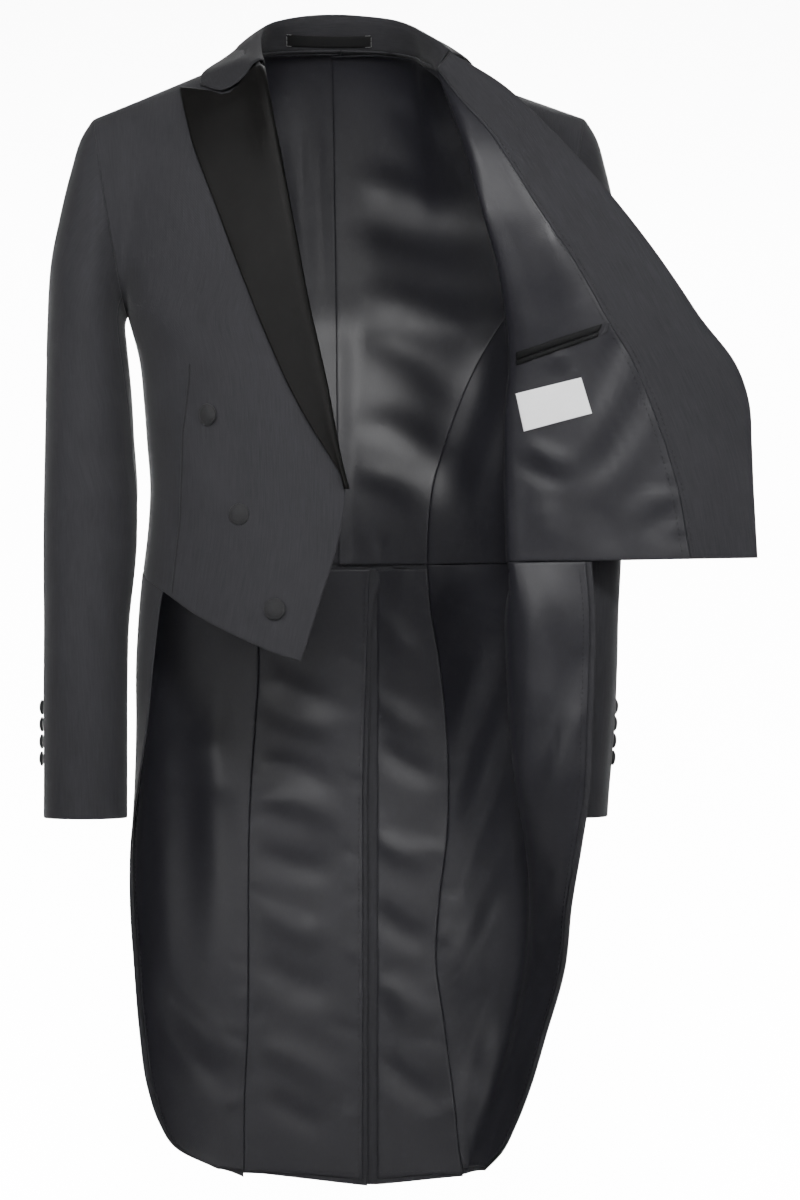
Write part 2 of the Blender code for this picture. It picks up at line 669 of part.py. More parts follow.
def object_from(name, mesh_bm, look):
    """Turns a closed bmesh in millimetres into a named object in metres."""
    bmesh.ops.recalc_face_normals(mesh_bm, faces=mesh_bm.faces)
    if mesh_bm.calc_volume(signed=True) < 0:
        bmesh.ops.reverse_faces(mesh_bm, faces=mesh_bm.faces)
    bmesh.ops.scale(mesh_bm, vec=(MM, MM, MM), verts=mesh_bm.verts)
    mesh = bpy.data.meshes.new(name)
    mesh_bm.to_mesh(mesh)
    mesh_bm.free()
    mesh.shade_smooth()
    mesh.set_sharp_from_angle(angle=math.radians(40))
    mesh.materials.append(material(name, look))
    made = bpy.data.objects.new(name, mesh)
    COAT.objects.link(made)
    return made


def wall(name, outer, inner, look):
    """A closed wall between two matching grids of points."""
    shape = bmesh.new()
    rows, cols = outer.shape[:2]
    faces = []
    sheets = []
    for grid in (outer, inner):
        sheets.append([[shape.verts.new(grid[i, j]) for j in range(cols)] for i in range(rows)])
    for sheet in sheets:
        for i in range(rows - 1):
            for j in range(cols - 1):
                faces.append((sheet[i][j], sheet[i][j + 1], sheet[i + 1][j + 1]))
                faces.append((sheet[i][j], sheet[i + 1][j + 1], sheet[i + 1][j]))
    near, far = sheets
    for j in range(cols - 1):
        for i in (0, rows - 1):
            faces.append((near[i][j], near[i][j + 1], far[i][j + 1], far[i][j]))
    for i in range(rows - 1):
        for j in (0, cols - 1):
            faces.append((near[i][j], near[i + 1][j], far[i + 1][j], far[i][j]))
    for corners in faces:
        shape.faces.new(corners)
    return object_from(name, shape, look)


def cloth(name, panel, look, inset=SEAM_HALF, depth=0.0, thick=WALL):
    """A wall whose outer face lies that depth inside a panel, drawn in at its edges."""
    grid, normals = panel
    outer = trimmed(grid, inset) - normals * depth
    return wall(name, outer, outer - normals * thick, look)


def part_of(panel, rows=slice(None), cols=slice(None)):
    grid, normals = panel
    return grid[rows, cols], normals[rows, cols]


def surface(panels):
    """A search tree over panels, to lay things on them."""
    verts, polys = [], []
    for grid, _ in panels:
        rows, cols = grid.shape[:2]
        base = len(verts)
        verts.extend(Vector(p) for p in grid.reshape(-1, 3))
        for i in range(rows - 1):
            for j in range(cols - 1):
                a = base + i * cols + j
                polys.append((a, a + 1, a + cols + 1, a + cols))
    return BVHTree.FromPolygons(verts, polys)


def on_cloth(tree, x, z, from_y, way):
    """Where a level line of sight at x, z meets the cloth, and the way there back towards the start."""
    hit, normal, _, _ = tree.ray_cast(Vector((x, from_y, z)), Vector((0, way, 0)))
    if hit is None:
        hit, normal, _, _ = tree.find_nearest(Vector((x, from_y * 0.2, z)))
    normal = np.array(normal)
    if normal[1] * way > 0:
        normal = -normal
    return np.array(hit), normal


def laid(name, tree, corners, shape, depth, thick, look, from_y=-FAR_OFF, way=1):
    """A flat piece between four corners (x, z), laid on the cloth and moved out from it."""
    low_left, low_right, high_right, high_left = (np.array(c, float) for c in corners)
    rows, cols = shape
    outer = np.empty((rows, cols, 3))
    inner = np.empty((rows, cols, 3))
    for i, v in enumerate(np.linspace(0, 1, rows)):
        for j, u in enumerate(np.linspace(0, 1, cols)):
            x, z = mix(mix(low_left, low_right, u), mix(high_left, high_right, u), v)
            point, normal = on_cloth(tree, x, z, from_y, way)
            inner[i, j] = point + normal * depth
            outer[i, j] = point + normal * (depth + thick)
    return wall(name, outer, inner, look)


def button(name, centre, normal, radius, thick):
    """A cloth-covered button: a domed disc with a rolled rim, turned about its own axis."""
    profile = ((0.0, 0.0), (0.86, 0.0), (1.0, 0.42), (0.84, 0.82), (0.0, 1.0))
    shape = bmesh.new()
    verts = [shape.verts.new((r * radius, 0, h * thick)) for r, h in profile]
    edges = [shape.edges.new(pair) for pair in zip(verts, verts[1:])]
    bmesh.ops.spin(
        shape, geom=verts + edges, cent=(0, 0, 0), axis=(0, 0, 1), angle=math.tau, steps=12, use_merge=True
    )
    bmesh.ops.remove_doubles(shape, verts=shape.verts, dist=0.001)
    turn = Vector((0, 0, 1)).rotation_difference(Vector(normal)).to_matrix().to_4x4()
    turn.translation = Vector(centre)
    bmesh.ops.transform(shape, matrix=turn, verts=shape.verts)
    return object_from(name, shape, COVERED)


def shortfall(point, tree, clear):
    """How far, and which way, a point must move to be that clear of the outer side of the cloth under it."""
    spot, normal, _, _ = tree.find_nearest(Vector(point))
    away = np.array(normal)
    if np.dot(away, point - [0, SIDE_Y, point[2] - 100]) < 0:
        away = -away
    return away * max(clear - np.dot(point - np.array(spot), away), 0)


def pushed_out(points, tree, clear, free):
    """Free points of a grid moved until neither they nor the middles between them are nearer than that."""
    result = points.copy()
    for _ in range(3):
        for k in zip(*np.nonzero(free)):
            result[k] += shortfall(result[k], tree, clear)
        for i, j in np.ndindex(points.shape[0] - 1, points.shape[1] - 1):
            for rows, cols in (((i, i + 1), (j,)), ((i,), (j, j + 1)), ((i, i + 1), (j, j + 1))):
                corners = [(a, b) for a in rows for b in cols]
                if all(free[corner] for corner in corners):
                    move = shortfall(sum(result[corner] for corner in corners) / len(corners), tree, clear)
                    for corner in corners:
                        result[corner] += move
    return result


def neck_seam(at):
    """A point of the neck seam, from the right gorge (-1) round the back (0) to the left one (1)."""
    side = 1 if at > 0 else -1
    out = abs(at)
    if out <= NECK_SIDE_AT:
        return top_line(BACK_NECK_SHARE * out / NECK_SIDE_AT, side, True)
    past = (out - NECK_SIDE_AT) / (1 - NECK_SIDE_AT)
    if side < 0:
        return top_line(FRONT_NECK_SHARE * (1 - past), side, False)
    gorge = [LEFT_FRONT["fold_" + axis][-1] for axis in "xyz"]
    return mix(top_line(FRONT_NECK_SHARE, 1, False), gorge, past)


def build_collar(panels):
    """Stand and fall as one folded wall, swept from gorge to gorge, with its label inside the stand."""
    count = len(COLLAR["at"])
    rows = []
    for k in range(count):
        at = COLLAR["at"][k]
        wrap = max((abs(at) - NECK_SIDE_AT) / (1 - NECK_SIDE_AT), 0)
        lift = COLLAR_LIFT + 1.5 * math.sin(math.pi * wrap)
        seam = neck_seam(at) + [-math.copysign(COLLAR_WRAP * wrap, at), 0, lift]
        fold, mid, edge = (
            np.array([COLLAR[f"{name}_{axis}"][k] for axis in "xyz"], float)
            for name in ("fold", "mid", "edge")
        )
        away = mid - fold
        away[2] = 0
        away /= np.linalg.norm(away)
        low_fold = mix(seam, fold, 0.85) - away * 1.2
        over = fold + away * 4.5 + [0, 0, -1.5 - 3 * wrap]
        stand = spline([seam, mix(seam, low_fold, 0.5), low_fold, fold], STAND_SHARES)
        rows.append(np.vstack([stand, spline([fold, over, mid, edge], FALL_SHARES)]))
    grid = np.array(rows)
    normals = normals_of(grid, 1)
    if normals[count // 2, 0, 1] > 0:
        normals = -normals
    shoulder = part_of(panels["front_left"], slice(None), slice(0, len(SHOULDER_STEPS)))
    body = surface([panels["back_right"], panels["back_left"], panels["front_right"], shoulder])
    free = np.zeros(grid.shape[:2], bool)
    free[:, len(STAND_SHARES) + 2 :] = True
    free[np.array(COLLAR["at"]) < -NECK_SIDE_AT, len(STAND_SHARES) + 1] = True
    under = pushed_out(grid - normals * WALL, body, COLLAR_CLEAR, free)
    upper = pushed_out(grid, body, COLLAR_CLEAR + WALL, free)
    wall("collar", trimmed(upper, SEAM_HALF), trimmed(under, SEAM_HALF), WOOL)
    stand = surface([(grid, normals)])
    laid("neck_label", stand, NECK_LABEL, (3, 8), LAYER_GAP, 0.8, BLACK)


def build_right_lapel(panel):
    """The peaked lapel, rolled round the front edge and lying on the closed front."""
    grid, _ = panel
    beyond = grid[:, -1] + (grid[:, -1] - grid[:, -2]) * 0.6
    tree = surface([(np.concatenate([grid, beyond[:, None]], axis=1), None)])
    ends = []
    for z in LAPEL_ROWS_Z:
        roll = read(FRONT_EDGE, "x", z) if z < CHEST_Z else yoke_edge_x(z)
        ends.append(((roll, z), (read(LAPEL_EDGE, "x", z), z)))
    low_roll, low_edge = (np.array(point, float) for point in ends[-1])
    rows = [[mix(a, b, u) for u in LAPEL_COLUMNS] for a, b in ends]
    top = [np.array([read(LAPEL_TOP, axis, u, "share") for axis in "xz"]) for u in LAPEL_COLUMNS]
    top[0][0] = yoke_edge_x(top[0][1])
    for rise in (0.25, 0.45, 0.65, 0.83, 1.0):
        start = mix(low_roll, top[0], rise)
        stop = mix(low_edge, top[-1], rise)
        row = []
        for u, high in zip(LAPEL_COLUMNS, top):
            flat = mix(top[0], top[-1], u)
            row.append(mix(start, stop, u) + (high - flat) * rise**2)
        rows.append(row)
    outer, inner = [], []
    for row in rows:
        spots = [on_cloth(tree, x, z, -FAR_OFF, 1) for x, z in row]
        edge, out = spots[0]
        way = edge - spots[1][0]
        way /= np.linalg.norm(way)
        over = [edge + way * 1.2 - out * 1.0, edge + way * 0.8 + out * 2.0]
        above = [edge + way * 3.6 - out * 1.0, edge + way * 2.6 + out * 4.2]
        for u, (point, normal) in list(zip(LAPEL_COLUMNS, spots))[1:]:
            lift = 1.8 + 2.2 * (1 - u) ** 2
            over.append(point + normal * lift)
            above.append(point + normal * (lift + LAPEL_WALL))
        inner.append(over)
        outer.append(above)
    wall("lapel_right", np.array(outer), np.array(inner), SATIN)


def yoke_edge_x(z):
    """The roll line across, above the chest."""
    top = -ROLL_NECK[0]
    bottom = read(FRONT_EDGE, "x", CHEST_Z)
    return bottom + (top - bottom) * (z - CHEST_Z) / (ROLL_NECK[2] - CHEST_Z)


def build_left_lapel(panel):
    """The other lapel, folded back on the outer side of the opened front."""
    grid, normals = panel
    points, ways = [], []
    for k in range(LEFT_LAPEL["row"][0], grid.shape[0]):
        share = read(LEFT_LAPEL, "share", k, "row")
        row = grid[k]
        along = np.concatenate([[0], np.cumsum(np.linalg.norm(np.diff(row, axis=0), axis=1))])
        sheet = along[-1] - along[FOLD_COLUMN]
        at = along[-1] - sheet * np.linspace(share, 0.0, 5)
        points.append(np.stack([np.interp(at, along, row[:, c]) for c in range(3)], axis=1))
        way = np.stack([np.interp(at, along, normals[k][:, c]) for c in range(3)], axis=1)
        ways.append(way / np.linalg.norm(way, axis=1, keepdims=True))
    points, ways = np.array(points), np.array(ways)
    inner = trimmed(points, 0.8) + ways * (LAYER_GAP + 0.6)
    return wall("lapel_left", inner + ways * LAPEL_WALL, inner, SATIN)


def build_shell():
    """The panels of the shell, as grids with shared directions, then as walls."""
    panels = {}
    front_left = left_front()
    for side, name in ((-1, "right"), (1, "left")):
        for key, grid in (("back_", back_panel(side)), ("side_body_", side_body(side))):
            panels[key + name] = (grid, normals_of(grid, side))
    for key, grid, side in (
        ("front_right", right_front(), -1),
        ("skirt_right", right_skirt(), -1),
        ("front_left", front_left, 1),
        ("skirt_left", left_skirt(front_left), 1),
    ):
        panels[key] = (grid, normals_of(grid, side))
    for side, name in ((-1, "right"), (1, "left")):
        for key, top in (("top_sleeve_", True), ("under_sleeve_", False)):
            grid = sleeve(side, top)
            panels[key + name] = (grid, normals_of(grid, side))
    share_normals(panels)
    for name, panel in panels.items():
        inset = (SEAM_HALF,) * 4
        if "sleeve" in name:
            inset = (SLEEVE_CLEAR, SEAM_HALF, SEAM_HALF, SEAM_HALF)
        if "skirt" in name:
            inset = (SEAM_HALF, SEAM_HALF, SKIRT_CLEAR, SEAM_HALF)
        cloth(name, panel, WOOL, inset)
    return panels


def with_pleat(panel):
    """The left back lining, its centre edge lapped over the right one as the ease pleat down the middle."""
    grid, normals = panel
    rise = np.linspace(0, 1, grid.shape[0])[:, None]
    edge = grid[:, 0] - normals[:, 0] * PLEAT_RISE
    lap = edge - [1, 0, 0] * (PLEAT_LAP_LOW + (PLEAT_LAP_HIGH - PLEAT_LAP_LOW) * rise)
    lapped = np.concatenate([lap[:, None], edge[:, None], grid[:, 1:]], axis=1)
    return lapped, np.concatenate([normals[:, :1], normals], axis=1)


def build_linings(panels):
    """Linings and facing, each a thin wall inside its panel. Returns the opened front's lining."""
    inside = WALL + LINING_GAP
    tail = len(TAIL_ROWS_Z) + 2
    at_seams = (SEAM_HALF, UNDER_COLLAR, SEAM_HALF, SEAM_HALF)
    for name in ("right", "left"):
        back = panels["back_" + name]
        upper = part_of(back, slice(tail, None))
        if name == "left":
            upper = with_pleat(upper)
        cloth("lining_back_" + name, upper, TWILL, at_seams, inside, LINING_WALL)
        cloth("lining_side_" + name, panels["side_body_" + name], TWILL, at_seams, inside, LINING_WALL)
        first = LAPPED_COLUMN if name == "left" else 0
        at_vent = SEAM_HALF if name == "left" else STRIP - 1
        lower = part_of(back, slice(0, tail - 1), slice(first, None))
        drawn_in = (STRIP, SEAM_HALF, at_vent, TAIL_SEAM)
        cloth("lining_tail_back_" + name, lower, TWILL, drawn_in, inside, LINING_WALL)
        drawn_in = (STRIP, 2 * TAIL_SEAM, TAIL_SEAM, STRIP)
        cloth("lining_tail_side_" + name, panels["skirt_" + name], TWILL, drawn_in, inside, LINING_WALL)
    front = panels["front_left"]
    lining = part_of(front, slice(None), slice(0, FACING_COLUMN + 1))
    cloth("lining_front_left", lining, TWILL, at_seams, inside, LINING_WALL)
    facing = part_of(front, slice(None), slice(FACING_COLUMN, None))
    cloth("facing_left", facing, WOOL, at_seams, inside, LINING_WALL)
    return lining


def build_trim(panels, lining):
    """Pocket, labels and buttons, placed on the cloth that carries them."""
    shown = surface([lining])
    base = WALL + LINING_GAP + LINING_WALL + 2 * LAYER_GAP
    for name, corners, shape, thick, look in ON_LINING:
        laid(name, shown, corners, shape, base, thick, look)
    front = surface([panels["front_right"]])
    for k, (x, z) in enumerate(zip(RIGHT_BUTTONS["x"], RIGHT_BUTTONS["z"])):
        point, normal = on_cloth(front, x, z, -FAR_OFF, 1)
        button(f"button_right_{k + 1}", point + normal * BUTTON_LIFT, normal, BUTTON_RADIUS, BUTTON_THICK)
    sheet = surface([part_of(panels["front_left"], slice(None), slice(FOLD_COLUMN, None))])
    for k, (x, z) in enumerate(zip(LEFT_BUTTONS["x"], LEFT_BUTTONS["z"])):
        point, normal = on_cloth(sheet, x, z, FAR_OFF, -1)
        button(f"button_left_{k + 1}", point + normal * BUTTON_LIFT, normal, BUTTON_RADIUS, BUTTON_THICK)
    for side, name in ((-1, "right"), (1, "left")):
        back = surface([panels["back_" + name], panels["side_body_" + name]])
        point, normal = on_cloth(back, side * WAIST_BUTTON_X, WAIST_Z + WAIST_BUTTON_UP, FAR_OFF, -1)
        button("button_waist_" + name, point + normal * BUTTON_LIFT, normal, BUTTON_RADIUS, BUTTON_THICK)
        grid, ways = panels["top_sleeve_" + name]
        heights = grid[:, -2, 2]
        for k, z in enumerate(CUFF_BUTTON_Z):
            place = [np.interp(z, heights[::-1], grid[::-1, -2, c]) for c in range(3)]
            way = ways[-2, -2]
            centre = np.array(place) + way * BUTTON_LIFT
            button(f"button_cuff_{name}_{k + 1}", centre, way, CUFF_BUTTON_RADIUS, CUFF_BUTTON_THICK)


for old in list(bpy.data.objects):
    bpy.data.objects.remove(old, do_unlink=True)
COAT = collection("tailcoat")
shell = build_shell()
front_lining = build_linings(shell)
build_collar(shell)
build_right_lapel(shell["front_right"])
build_left_lapel(shell["front_left"])
build_trim(shell, front_lining)
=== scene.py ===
"""The looks of a white tie tailcoat: fine cloth laid over the frame's panels, creased, sewn and lit."""

import json
import math

import bpy
import numpy as np
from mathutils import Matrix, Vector
from mathutils.bvhtree import BVHTree

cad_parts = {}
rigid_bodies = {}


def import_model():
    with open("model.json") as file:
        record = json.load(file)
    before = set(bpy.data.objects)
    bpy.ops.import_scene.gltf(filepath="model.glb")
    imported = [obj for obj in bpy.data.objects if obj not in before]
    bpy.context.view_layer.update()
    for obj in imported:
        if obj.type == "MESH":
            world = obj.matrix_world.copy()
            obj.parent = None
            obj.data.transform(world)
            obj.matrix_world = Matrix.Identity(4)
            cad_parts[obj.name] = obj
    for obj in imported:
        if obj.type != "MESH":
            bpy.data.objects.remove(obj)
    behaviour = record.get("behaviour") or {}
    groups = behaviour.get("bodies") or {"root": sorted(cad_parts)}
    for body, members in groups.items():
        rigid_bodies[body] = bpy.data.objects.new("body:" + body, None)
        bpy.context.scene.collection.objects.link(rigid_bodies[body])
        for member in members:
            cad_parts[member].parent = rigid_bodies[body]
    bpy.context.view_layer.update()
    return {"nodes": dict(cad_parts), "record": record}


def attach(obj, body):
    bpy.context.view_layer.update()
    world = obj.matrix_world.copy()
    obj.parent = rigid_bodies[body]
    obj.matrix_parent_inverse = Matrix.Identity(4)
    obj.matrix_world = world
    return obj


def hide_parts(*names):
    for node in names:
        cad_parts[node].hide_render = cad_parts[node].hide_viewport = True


for old in list(bpy.data.objects):
    bpy.data.objects.remove(old, do_unlink=True)
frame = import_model()

MM = 0.001
STEP = 6.0  # size of the fine cloth's cells
EDGE_LINES = (0.7, 1.8, 3.6)  # extra lines this far inside each edge, for the turned edges and seams
EDGE_ROUNDING = (0.32, 0.12, 0.02)  # how far each of an edge's lines is drawn into the wall, as a share of it
WRONG_POINT = 0.75  # a point further from where it should be, in cells, isn't taken for it
NEAR_POINT = 0.4  # and one within this is
MOST_GROWTH, MOST_SHRINKING = 3.5, 0.28  # past these ratios of two gaps, the curve has the wider one's slope
CURVE_STEPS = 5  # how many short lines a crease has between two of its places
CREASE_GAIN = 1.3  # makes up for the trough, which takes from a crease's height
TROUGH_DEPTH, TROUGH_WIDTH = 0.25, 2.3  # the trough round a crease, as shares of its height and half width
START_FADE, SEAM_FADE, END_FADE = 0.3, 0.02, 0.45  # the shares of its length in which it rises and falls
BUTTON_SEGMENTS = 44

# Each panel of the frame: rows, columns, its first and last corner, and how far its edges are let out to meet
# the panels that they are sewn to, at the first row, last row, first column and last column
SEWN = (0.2, 0.2, 0.2, 0.2)
PANELS = {
    "back_right": (32, 9, (26, 104, -1069), (-231, 5, -53), (0, 0.2, 0.2, 0.2)),
    "back_left": (32, 9, (-9, 107, -1065), (231, 5, -53), (0, 0.2, 0.2, 0.2)),
    "side_body_right": (11, 5, (-84, 91, -471), (-206, 60, -201), SEWN),
    "side_body_left": (11, 5, (84, 91, -471), (206, 60, -201), SEWN),
    "front_right": (16, 7, (-185, 5, -478), (-71, -42, -8), SEWN),
    "front_left": (16, 15, (185, 5, -478), (105, -28, 6), (0.2, 1.0, 0.2, 0.2)),
    "skirt_right": (13, 7, (-94, 96, -1058), (-163, -62, -498), (0, 0.2, 0.8, 0)),
    "skirt_left": (13, 14, (118, 90, -1056), (234, -82, -470), (0, 0.2, 0.8, 0)),
    "top_sleeve_right": (14, 12, (-202, -28, -222), (-273, -14, -709), (0.55, 0, 0.2, 0.2)),
    "top_sleeve_left": (14, 12, (202, -27, -222), (251, 16, -709), (0.55, 0, 0.2, 0.2)),
    "under_sleeve_right": (14, 9, (-219, 71, -124), (-199, -16, -709), (0.55, 0, 0.2, 0.2)),
    "under_sleeve_left": (14, 9, (219, 71, -124), (198, 14, -709), (0.55, 0, 0.2, 0.2)),
    "collar": (14, 8, (-68, -42, -7), (130, -2, -9), (0.2, 2.4, 3.6, 0)),
    "lapel_right": (17, 8, (12, -118, -404), (-149, -25, -25), SEWN),
    "lapel_left": (12, 5, (374, -85, -323), (106, -25, 4), SEWN),
    "facing_left": (16, 4, (325, -90, -468), (106, -32, 5), SEWN),
    "lining_front_left": (16, 12, (182, 4, -478), (93, -28, -10), SEWN),
    "lining_back_right": (17, 9, (0, 96, -471), (-229, 8, -56), SEWN),
    "lining_back_left": (17, 10, (-2, 94, -471), (229, 8, -56), (0.2, 0.2, 0, 0.2)),
    "lining_side_right": (11, 5, (-83, 88, -471), (-207, 57, -203), SEWN),
    "lining_side_left": (11, 5, (83, 88, -471), (208, 57, -203), SEWN),
    "lining_tail_back_right": (14, 9, (21, 101, -1062), (-83, 89, -477), SEWN),
    "lining_tail_back_left": (14, 7, (36, 103, -1062), (83, 89, -477), SEWN),
    "lining_tail_side_right": (13, 7, (-93, 93, -1053), (-163, -55, -497), SEWN),
    "lining_tail_side_left": (13, 14, (118, 87, -1050), (228, -84, -471), SEWN),
}

# Creases of the worn cloth, placed as seen from the front: height towards the viewer, half width and
# the line that each follows, as places across and up, in millimetres. Layers that lie together share them.
CREASES = {
    "body": (
        (-3.0, 17, ((4, -94), (57, -110), (105, -123), (153, -112))),
        (3.0, 20, ((4, -137), (57, -152), (110, -162), (158, -145))),
        (-2.5, 18, ((7, -210), (67, -219), (115, -248), (158, -299))),
        (3.0, 20, ((4, -248), (57, -263), (105, -298), (144, -357))),
        (-3.0, 18, ((4, -337), (57, -344), (105, -383), (139, -434))),
        (2.2, 14, ((9, -381), (57, -394), (96, -431))),
        (2.6, 9, ((-47, -14), (-40, -121), (-29, -222))),
        (-2.4, 8, ((-25, -33), (-22, -141), (-18, -251))),
        (-2.2, 12, ((-68, -44), (-54, -131), (-39, -217))),
        (-3.4, 16, ((158, -217), (128, -314), (107, -390), (97, -456))),
        (3.4, 14, ((169, -277), (146, -354), (123, -429))),
        (2.4, 16, ((52, -18), (86, -64), (134, -93))),
        (-2.6, 11, ((-75, -571), (-39, -594), (11, -604))),
        (2.8, 12, ((-83, -604), (-39, -623), (13, -637))),
        (-2.8, 11, ((-85, -661), (-46, -667), (9, -692))),
        (2.6, 12, ((-85, -700), (-39, -701), (9, -729))),
        (-2.4, 14, ((-87, -746), (-39, -763), (5, -761))),
        (2.4, 15, ((-82, -796), (-39, -825), (4, -819))),
        (-2.4, 15, ((-82, -844), (-39, -877), (9, -882))),
        (2.2, 14, ((-82, -930), (-39, -950), (11, -988))),
        (-2.0, 12, ((-75, -977), (-39, -1003), (0, -1015))),
        (-2.4, 12, ((-178, -621), (-142, -644), (-96, -642))),
        (2.6, 13, ((-180, -661), (-137, -683), (-93, -686))),
        (-3.2, 12, ((-184, -895), (-161, -929), (-132, -957), (-94, -976))),
        (3.4, 13, ((-181, -864), (-151, -898), (-123, -927), (-93, -940))),
        (3.0, 16, ((-158, -544), (-152, -659), (-144, -794), (-134, -938))),
        (-2.8, 13, ((-119, -558), (-119, -695), (-110, -847))),
        (-2.2, 12, ((-175, -695), (-170, -790), (-167, -866))),
        (-4.2, 13, ((158, -552), (136, -621), (117, -688), (103, -748))),
        (3.6, 12, ((151, -525), (125, -592), (107, -645))),
        (-4.4, 12, ((161, -638), (140, -707), (120, -775), (102, -828))),
        (3.6, 11, ((160, -600), (138, -669), (115, -738))),
        (-3.4, 12, ((158, -729), (134, -796), (107, -856))),
        (3.2, 13, ((153, -777), (129, -844), (107, -904))),
        (-3.0, 14, ((153, -854), (126, -930), (119, -998))),
        (2.6, 13, ((148, -909), (132, -967), (128, -1020))),
        (2.6, 12, ((34, -592), (59, -621), (98, -636))),
        (-2.6, 11, ((34, -640), (63, -665), (102, -681))),
        (2.6, 12, ((32, -729), (59, -748), (102, -757))),
        (-2.4, 13, ((30, -796), (59, -825), (94, -836))),
        (2.4, 14, ((32, -871), (61, -890), (92, -928))),
        (-2.0, 12, ((36, -938), (67, -972), (102, -986))),
        (1.8, 10, ((36, -506), (57, -544), (88, -559))),
    ),
    "sheet": (
        (-3.4, 9, ((262, -252), (248, -290), (236, -345))),
        (2.8, 9, ((273, -268), (259, -309), (246, -351), (232, -388))),
        (-3.4, 9, ((282, -298), (264, -343), (244, -380), (228, -404))),
        (2.4, 11, ((294, -323), (279, -359), (256, -396), (238, -421))),
        (-2.8, 8, ((166, -373), (193, -392), (208, -402))),
        (2.4, 9, ((169, -357), (196, -374), (220, -385))),
        (-2.4, 8, ((313, -423), (297, -433), (284, -455))),
        (2.0, 9, ((308, -403), (289, -414), (273, -439))),
        (-2.2, 10, ((179, -355), (173, -414), (170, -462))),
        (2.2, 12, ((191, -410), (194, -464))),
        (-2.4, 9, ((240, -414), (248, -441), (252, -465))),
        (3.2, 22, ((129, -62), (168, -112), (201, -167), (227, -231))),
        (-2.8, 16, ((122, -93), (149, -158), (168, -222), (177, -259))),
        (2.0, 12, ((186, -156), (201, -194), (206, -246))),
        (-2.0, 12, ((205, -151), (227, -194), (238, -241))),
        (2.2, 10, ((205, -271), (201, -296))),
        (1.6, 16, ((278, -165), (304, -229), (334, -303), (348, -386))),
        (-1.6, 16, ((255, -174), (287, -239), (319, -322), (334, -414))),
    ),
    "flank": (
        (3.0, 9, ((179, -495), (179, -580), (175, -659))),
        (-2.6, 9, ((195, -487), (199, -552), (193, -599))),
        (-3.4, 11, ((235, -543), (208, -589), (189, -656), (178, -722))),
        (3.2, 11, ((234, -589), (208, -647), (188, -712))),
        (-3.2, 11, ((231, -656), (207, -722), (184, -787))),
        (3.0, 11, ((227, -703), (202, -768), (178, -833))),
        (-3.0, 11, ((216, -777), (189, -843), (163, -908))),
        (2.8, 12, ((209, -822), (184, -880), (156, -945))),
    ),
    "front": (
        (1.4, 20, ((-172, -230), (-136, -276), (-122, -322))),
        (-1.4, 18, ((-186, -248), (-159, -313), (-140, -359))),
        (1.2, 16, ((-163, -386), (-122, -414), (-97, -425))),
        (-1.2, 16, ((-163, -418), (-117, -451), (-70, -497))),
        (1.2, 18, ((-81, -303), (-53, -368), (-35, -432))),
        (-1.0, 16, ((-200, -101), (-172, -156), (-163, -221))),
    ),
    "sleeve": (
        (-2.6, 12, ((-187, -384), (-212, -367), (-238, -377))),
        (2.6, 13, ((-188, -417), (-216, -405), (-248, -412))),
        (-2.2, 12, ((-189, -457), (-218, -438), (-252, -450))),
        (2.0, 13, ((-194, -337), (-216, -326), (-238, -335))),
        (2.2, 14, ((-212, -122), (-225, -188), (-231, -272))),
        (-2.0, 12, ((-227, -103), (-242, -169), (-248, -253))),
        (1.8, 16, ((-257, -468), (-255, -552), (-259, -637))),
        (-1.6, 14, ((-223, -506), (-220, -590), (-225, -665))),
    ),
}

# Seams that pull the cloth into short creases: how far these reach, and the seam's line, across and up
SEAMS = {
    "body": (
        (14, ((-78, -554), (-81, -595), (-86, -679), (-89, -720), (-89, -890), (-93, -1044))),
        (14, ((20, -506), (20, -801), (18, -921), (21, -1044))),
        (14, ((92, -482), (96, -560), (104, -632), (107, -687), (102, -753), (96, -801),
            (92, -829), (97, -879), (105, -941), (116, -1034))),
        (12, ((9, -464), (57, -464), (105, -463), (153, -458))),
    ),
    "sheet": (
        (12, ((180, -109), (207, -140), (227, -166), (245, -202), (259, -240), (270, -267),
            (281, -296), (295, -332), (308, -380), (316, -417), (324, -458))),
        (9, ((160, -294), (160, -358), (160, -432))),
    ),
    "flank": (
        (12, ((234, -506), (233, -559), (230, -640), (227, -700), (215, -765), (209, -830),
            (198, -870), (187, -910))),
    ),
}
# The ranges that these creases are drawn from; a length is a multiple of how far they reach
PUCKER_HEIGHT, PUCKER_WIDTH, PUCKER_GAP = (0.35, 0.9), (5.0, 7.5), (18, 46)
PUCKER_LEAN, PUCKER_LENGTH, PUCKER_START = (-0.6, 0.6), (1.0, 2.6), (6, 20)

# Which creases a panel takes: its group and, where the panel turns, the columns between which they fade in
BODY_PANELS = (
    "back_right", "back_left", "side_body_right", "side_body_left", "skirt_right", "lining_back_right",
    "lining_back_left", "lining_side_right", "lining_side_left", "lining_tail_back_right",
    "lining_tail_back_left", "lining_tail_side_right", "skirt_left", "lining_tail_side_left",
)
WHOLE = (-2, -1)  # before the first column, so that the whole panel takes them
SHEET_FADE = {
    "front_left": (6.0, 7.2), "lining_front_left": (6.0, 7.2), "facing_left": WHOLE, "lapel_left": WHOLE,
}
FLANK_FADE = {"skirt_left": (9.6, 10.8), "lining_tail_side_left": (9.6, 10.8)}
BODY_FADE_OUT = {"skirt_left": (6.5, 9.0), "lining_tail_side_left": (6.5, 9.0)}
BACK_FROM = (-30, 30)  # depths between which the body's creases fade in towards the back
FRONT_UNTIL = (-70, -20)  # depths between which those of the closed front fade out
CUFF_HELD = (-705, -660)  # heights between which a sleeve's creases fade out towards its cuff
SLEEVE_CREASES = 0.8  # how much of their heights the sleeves take

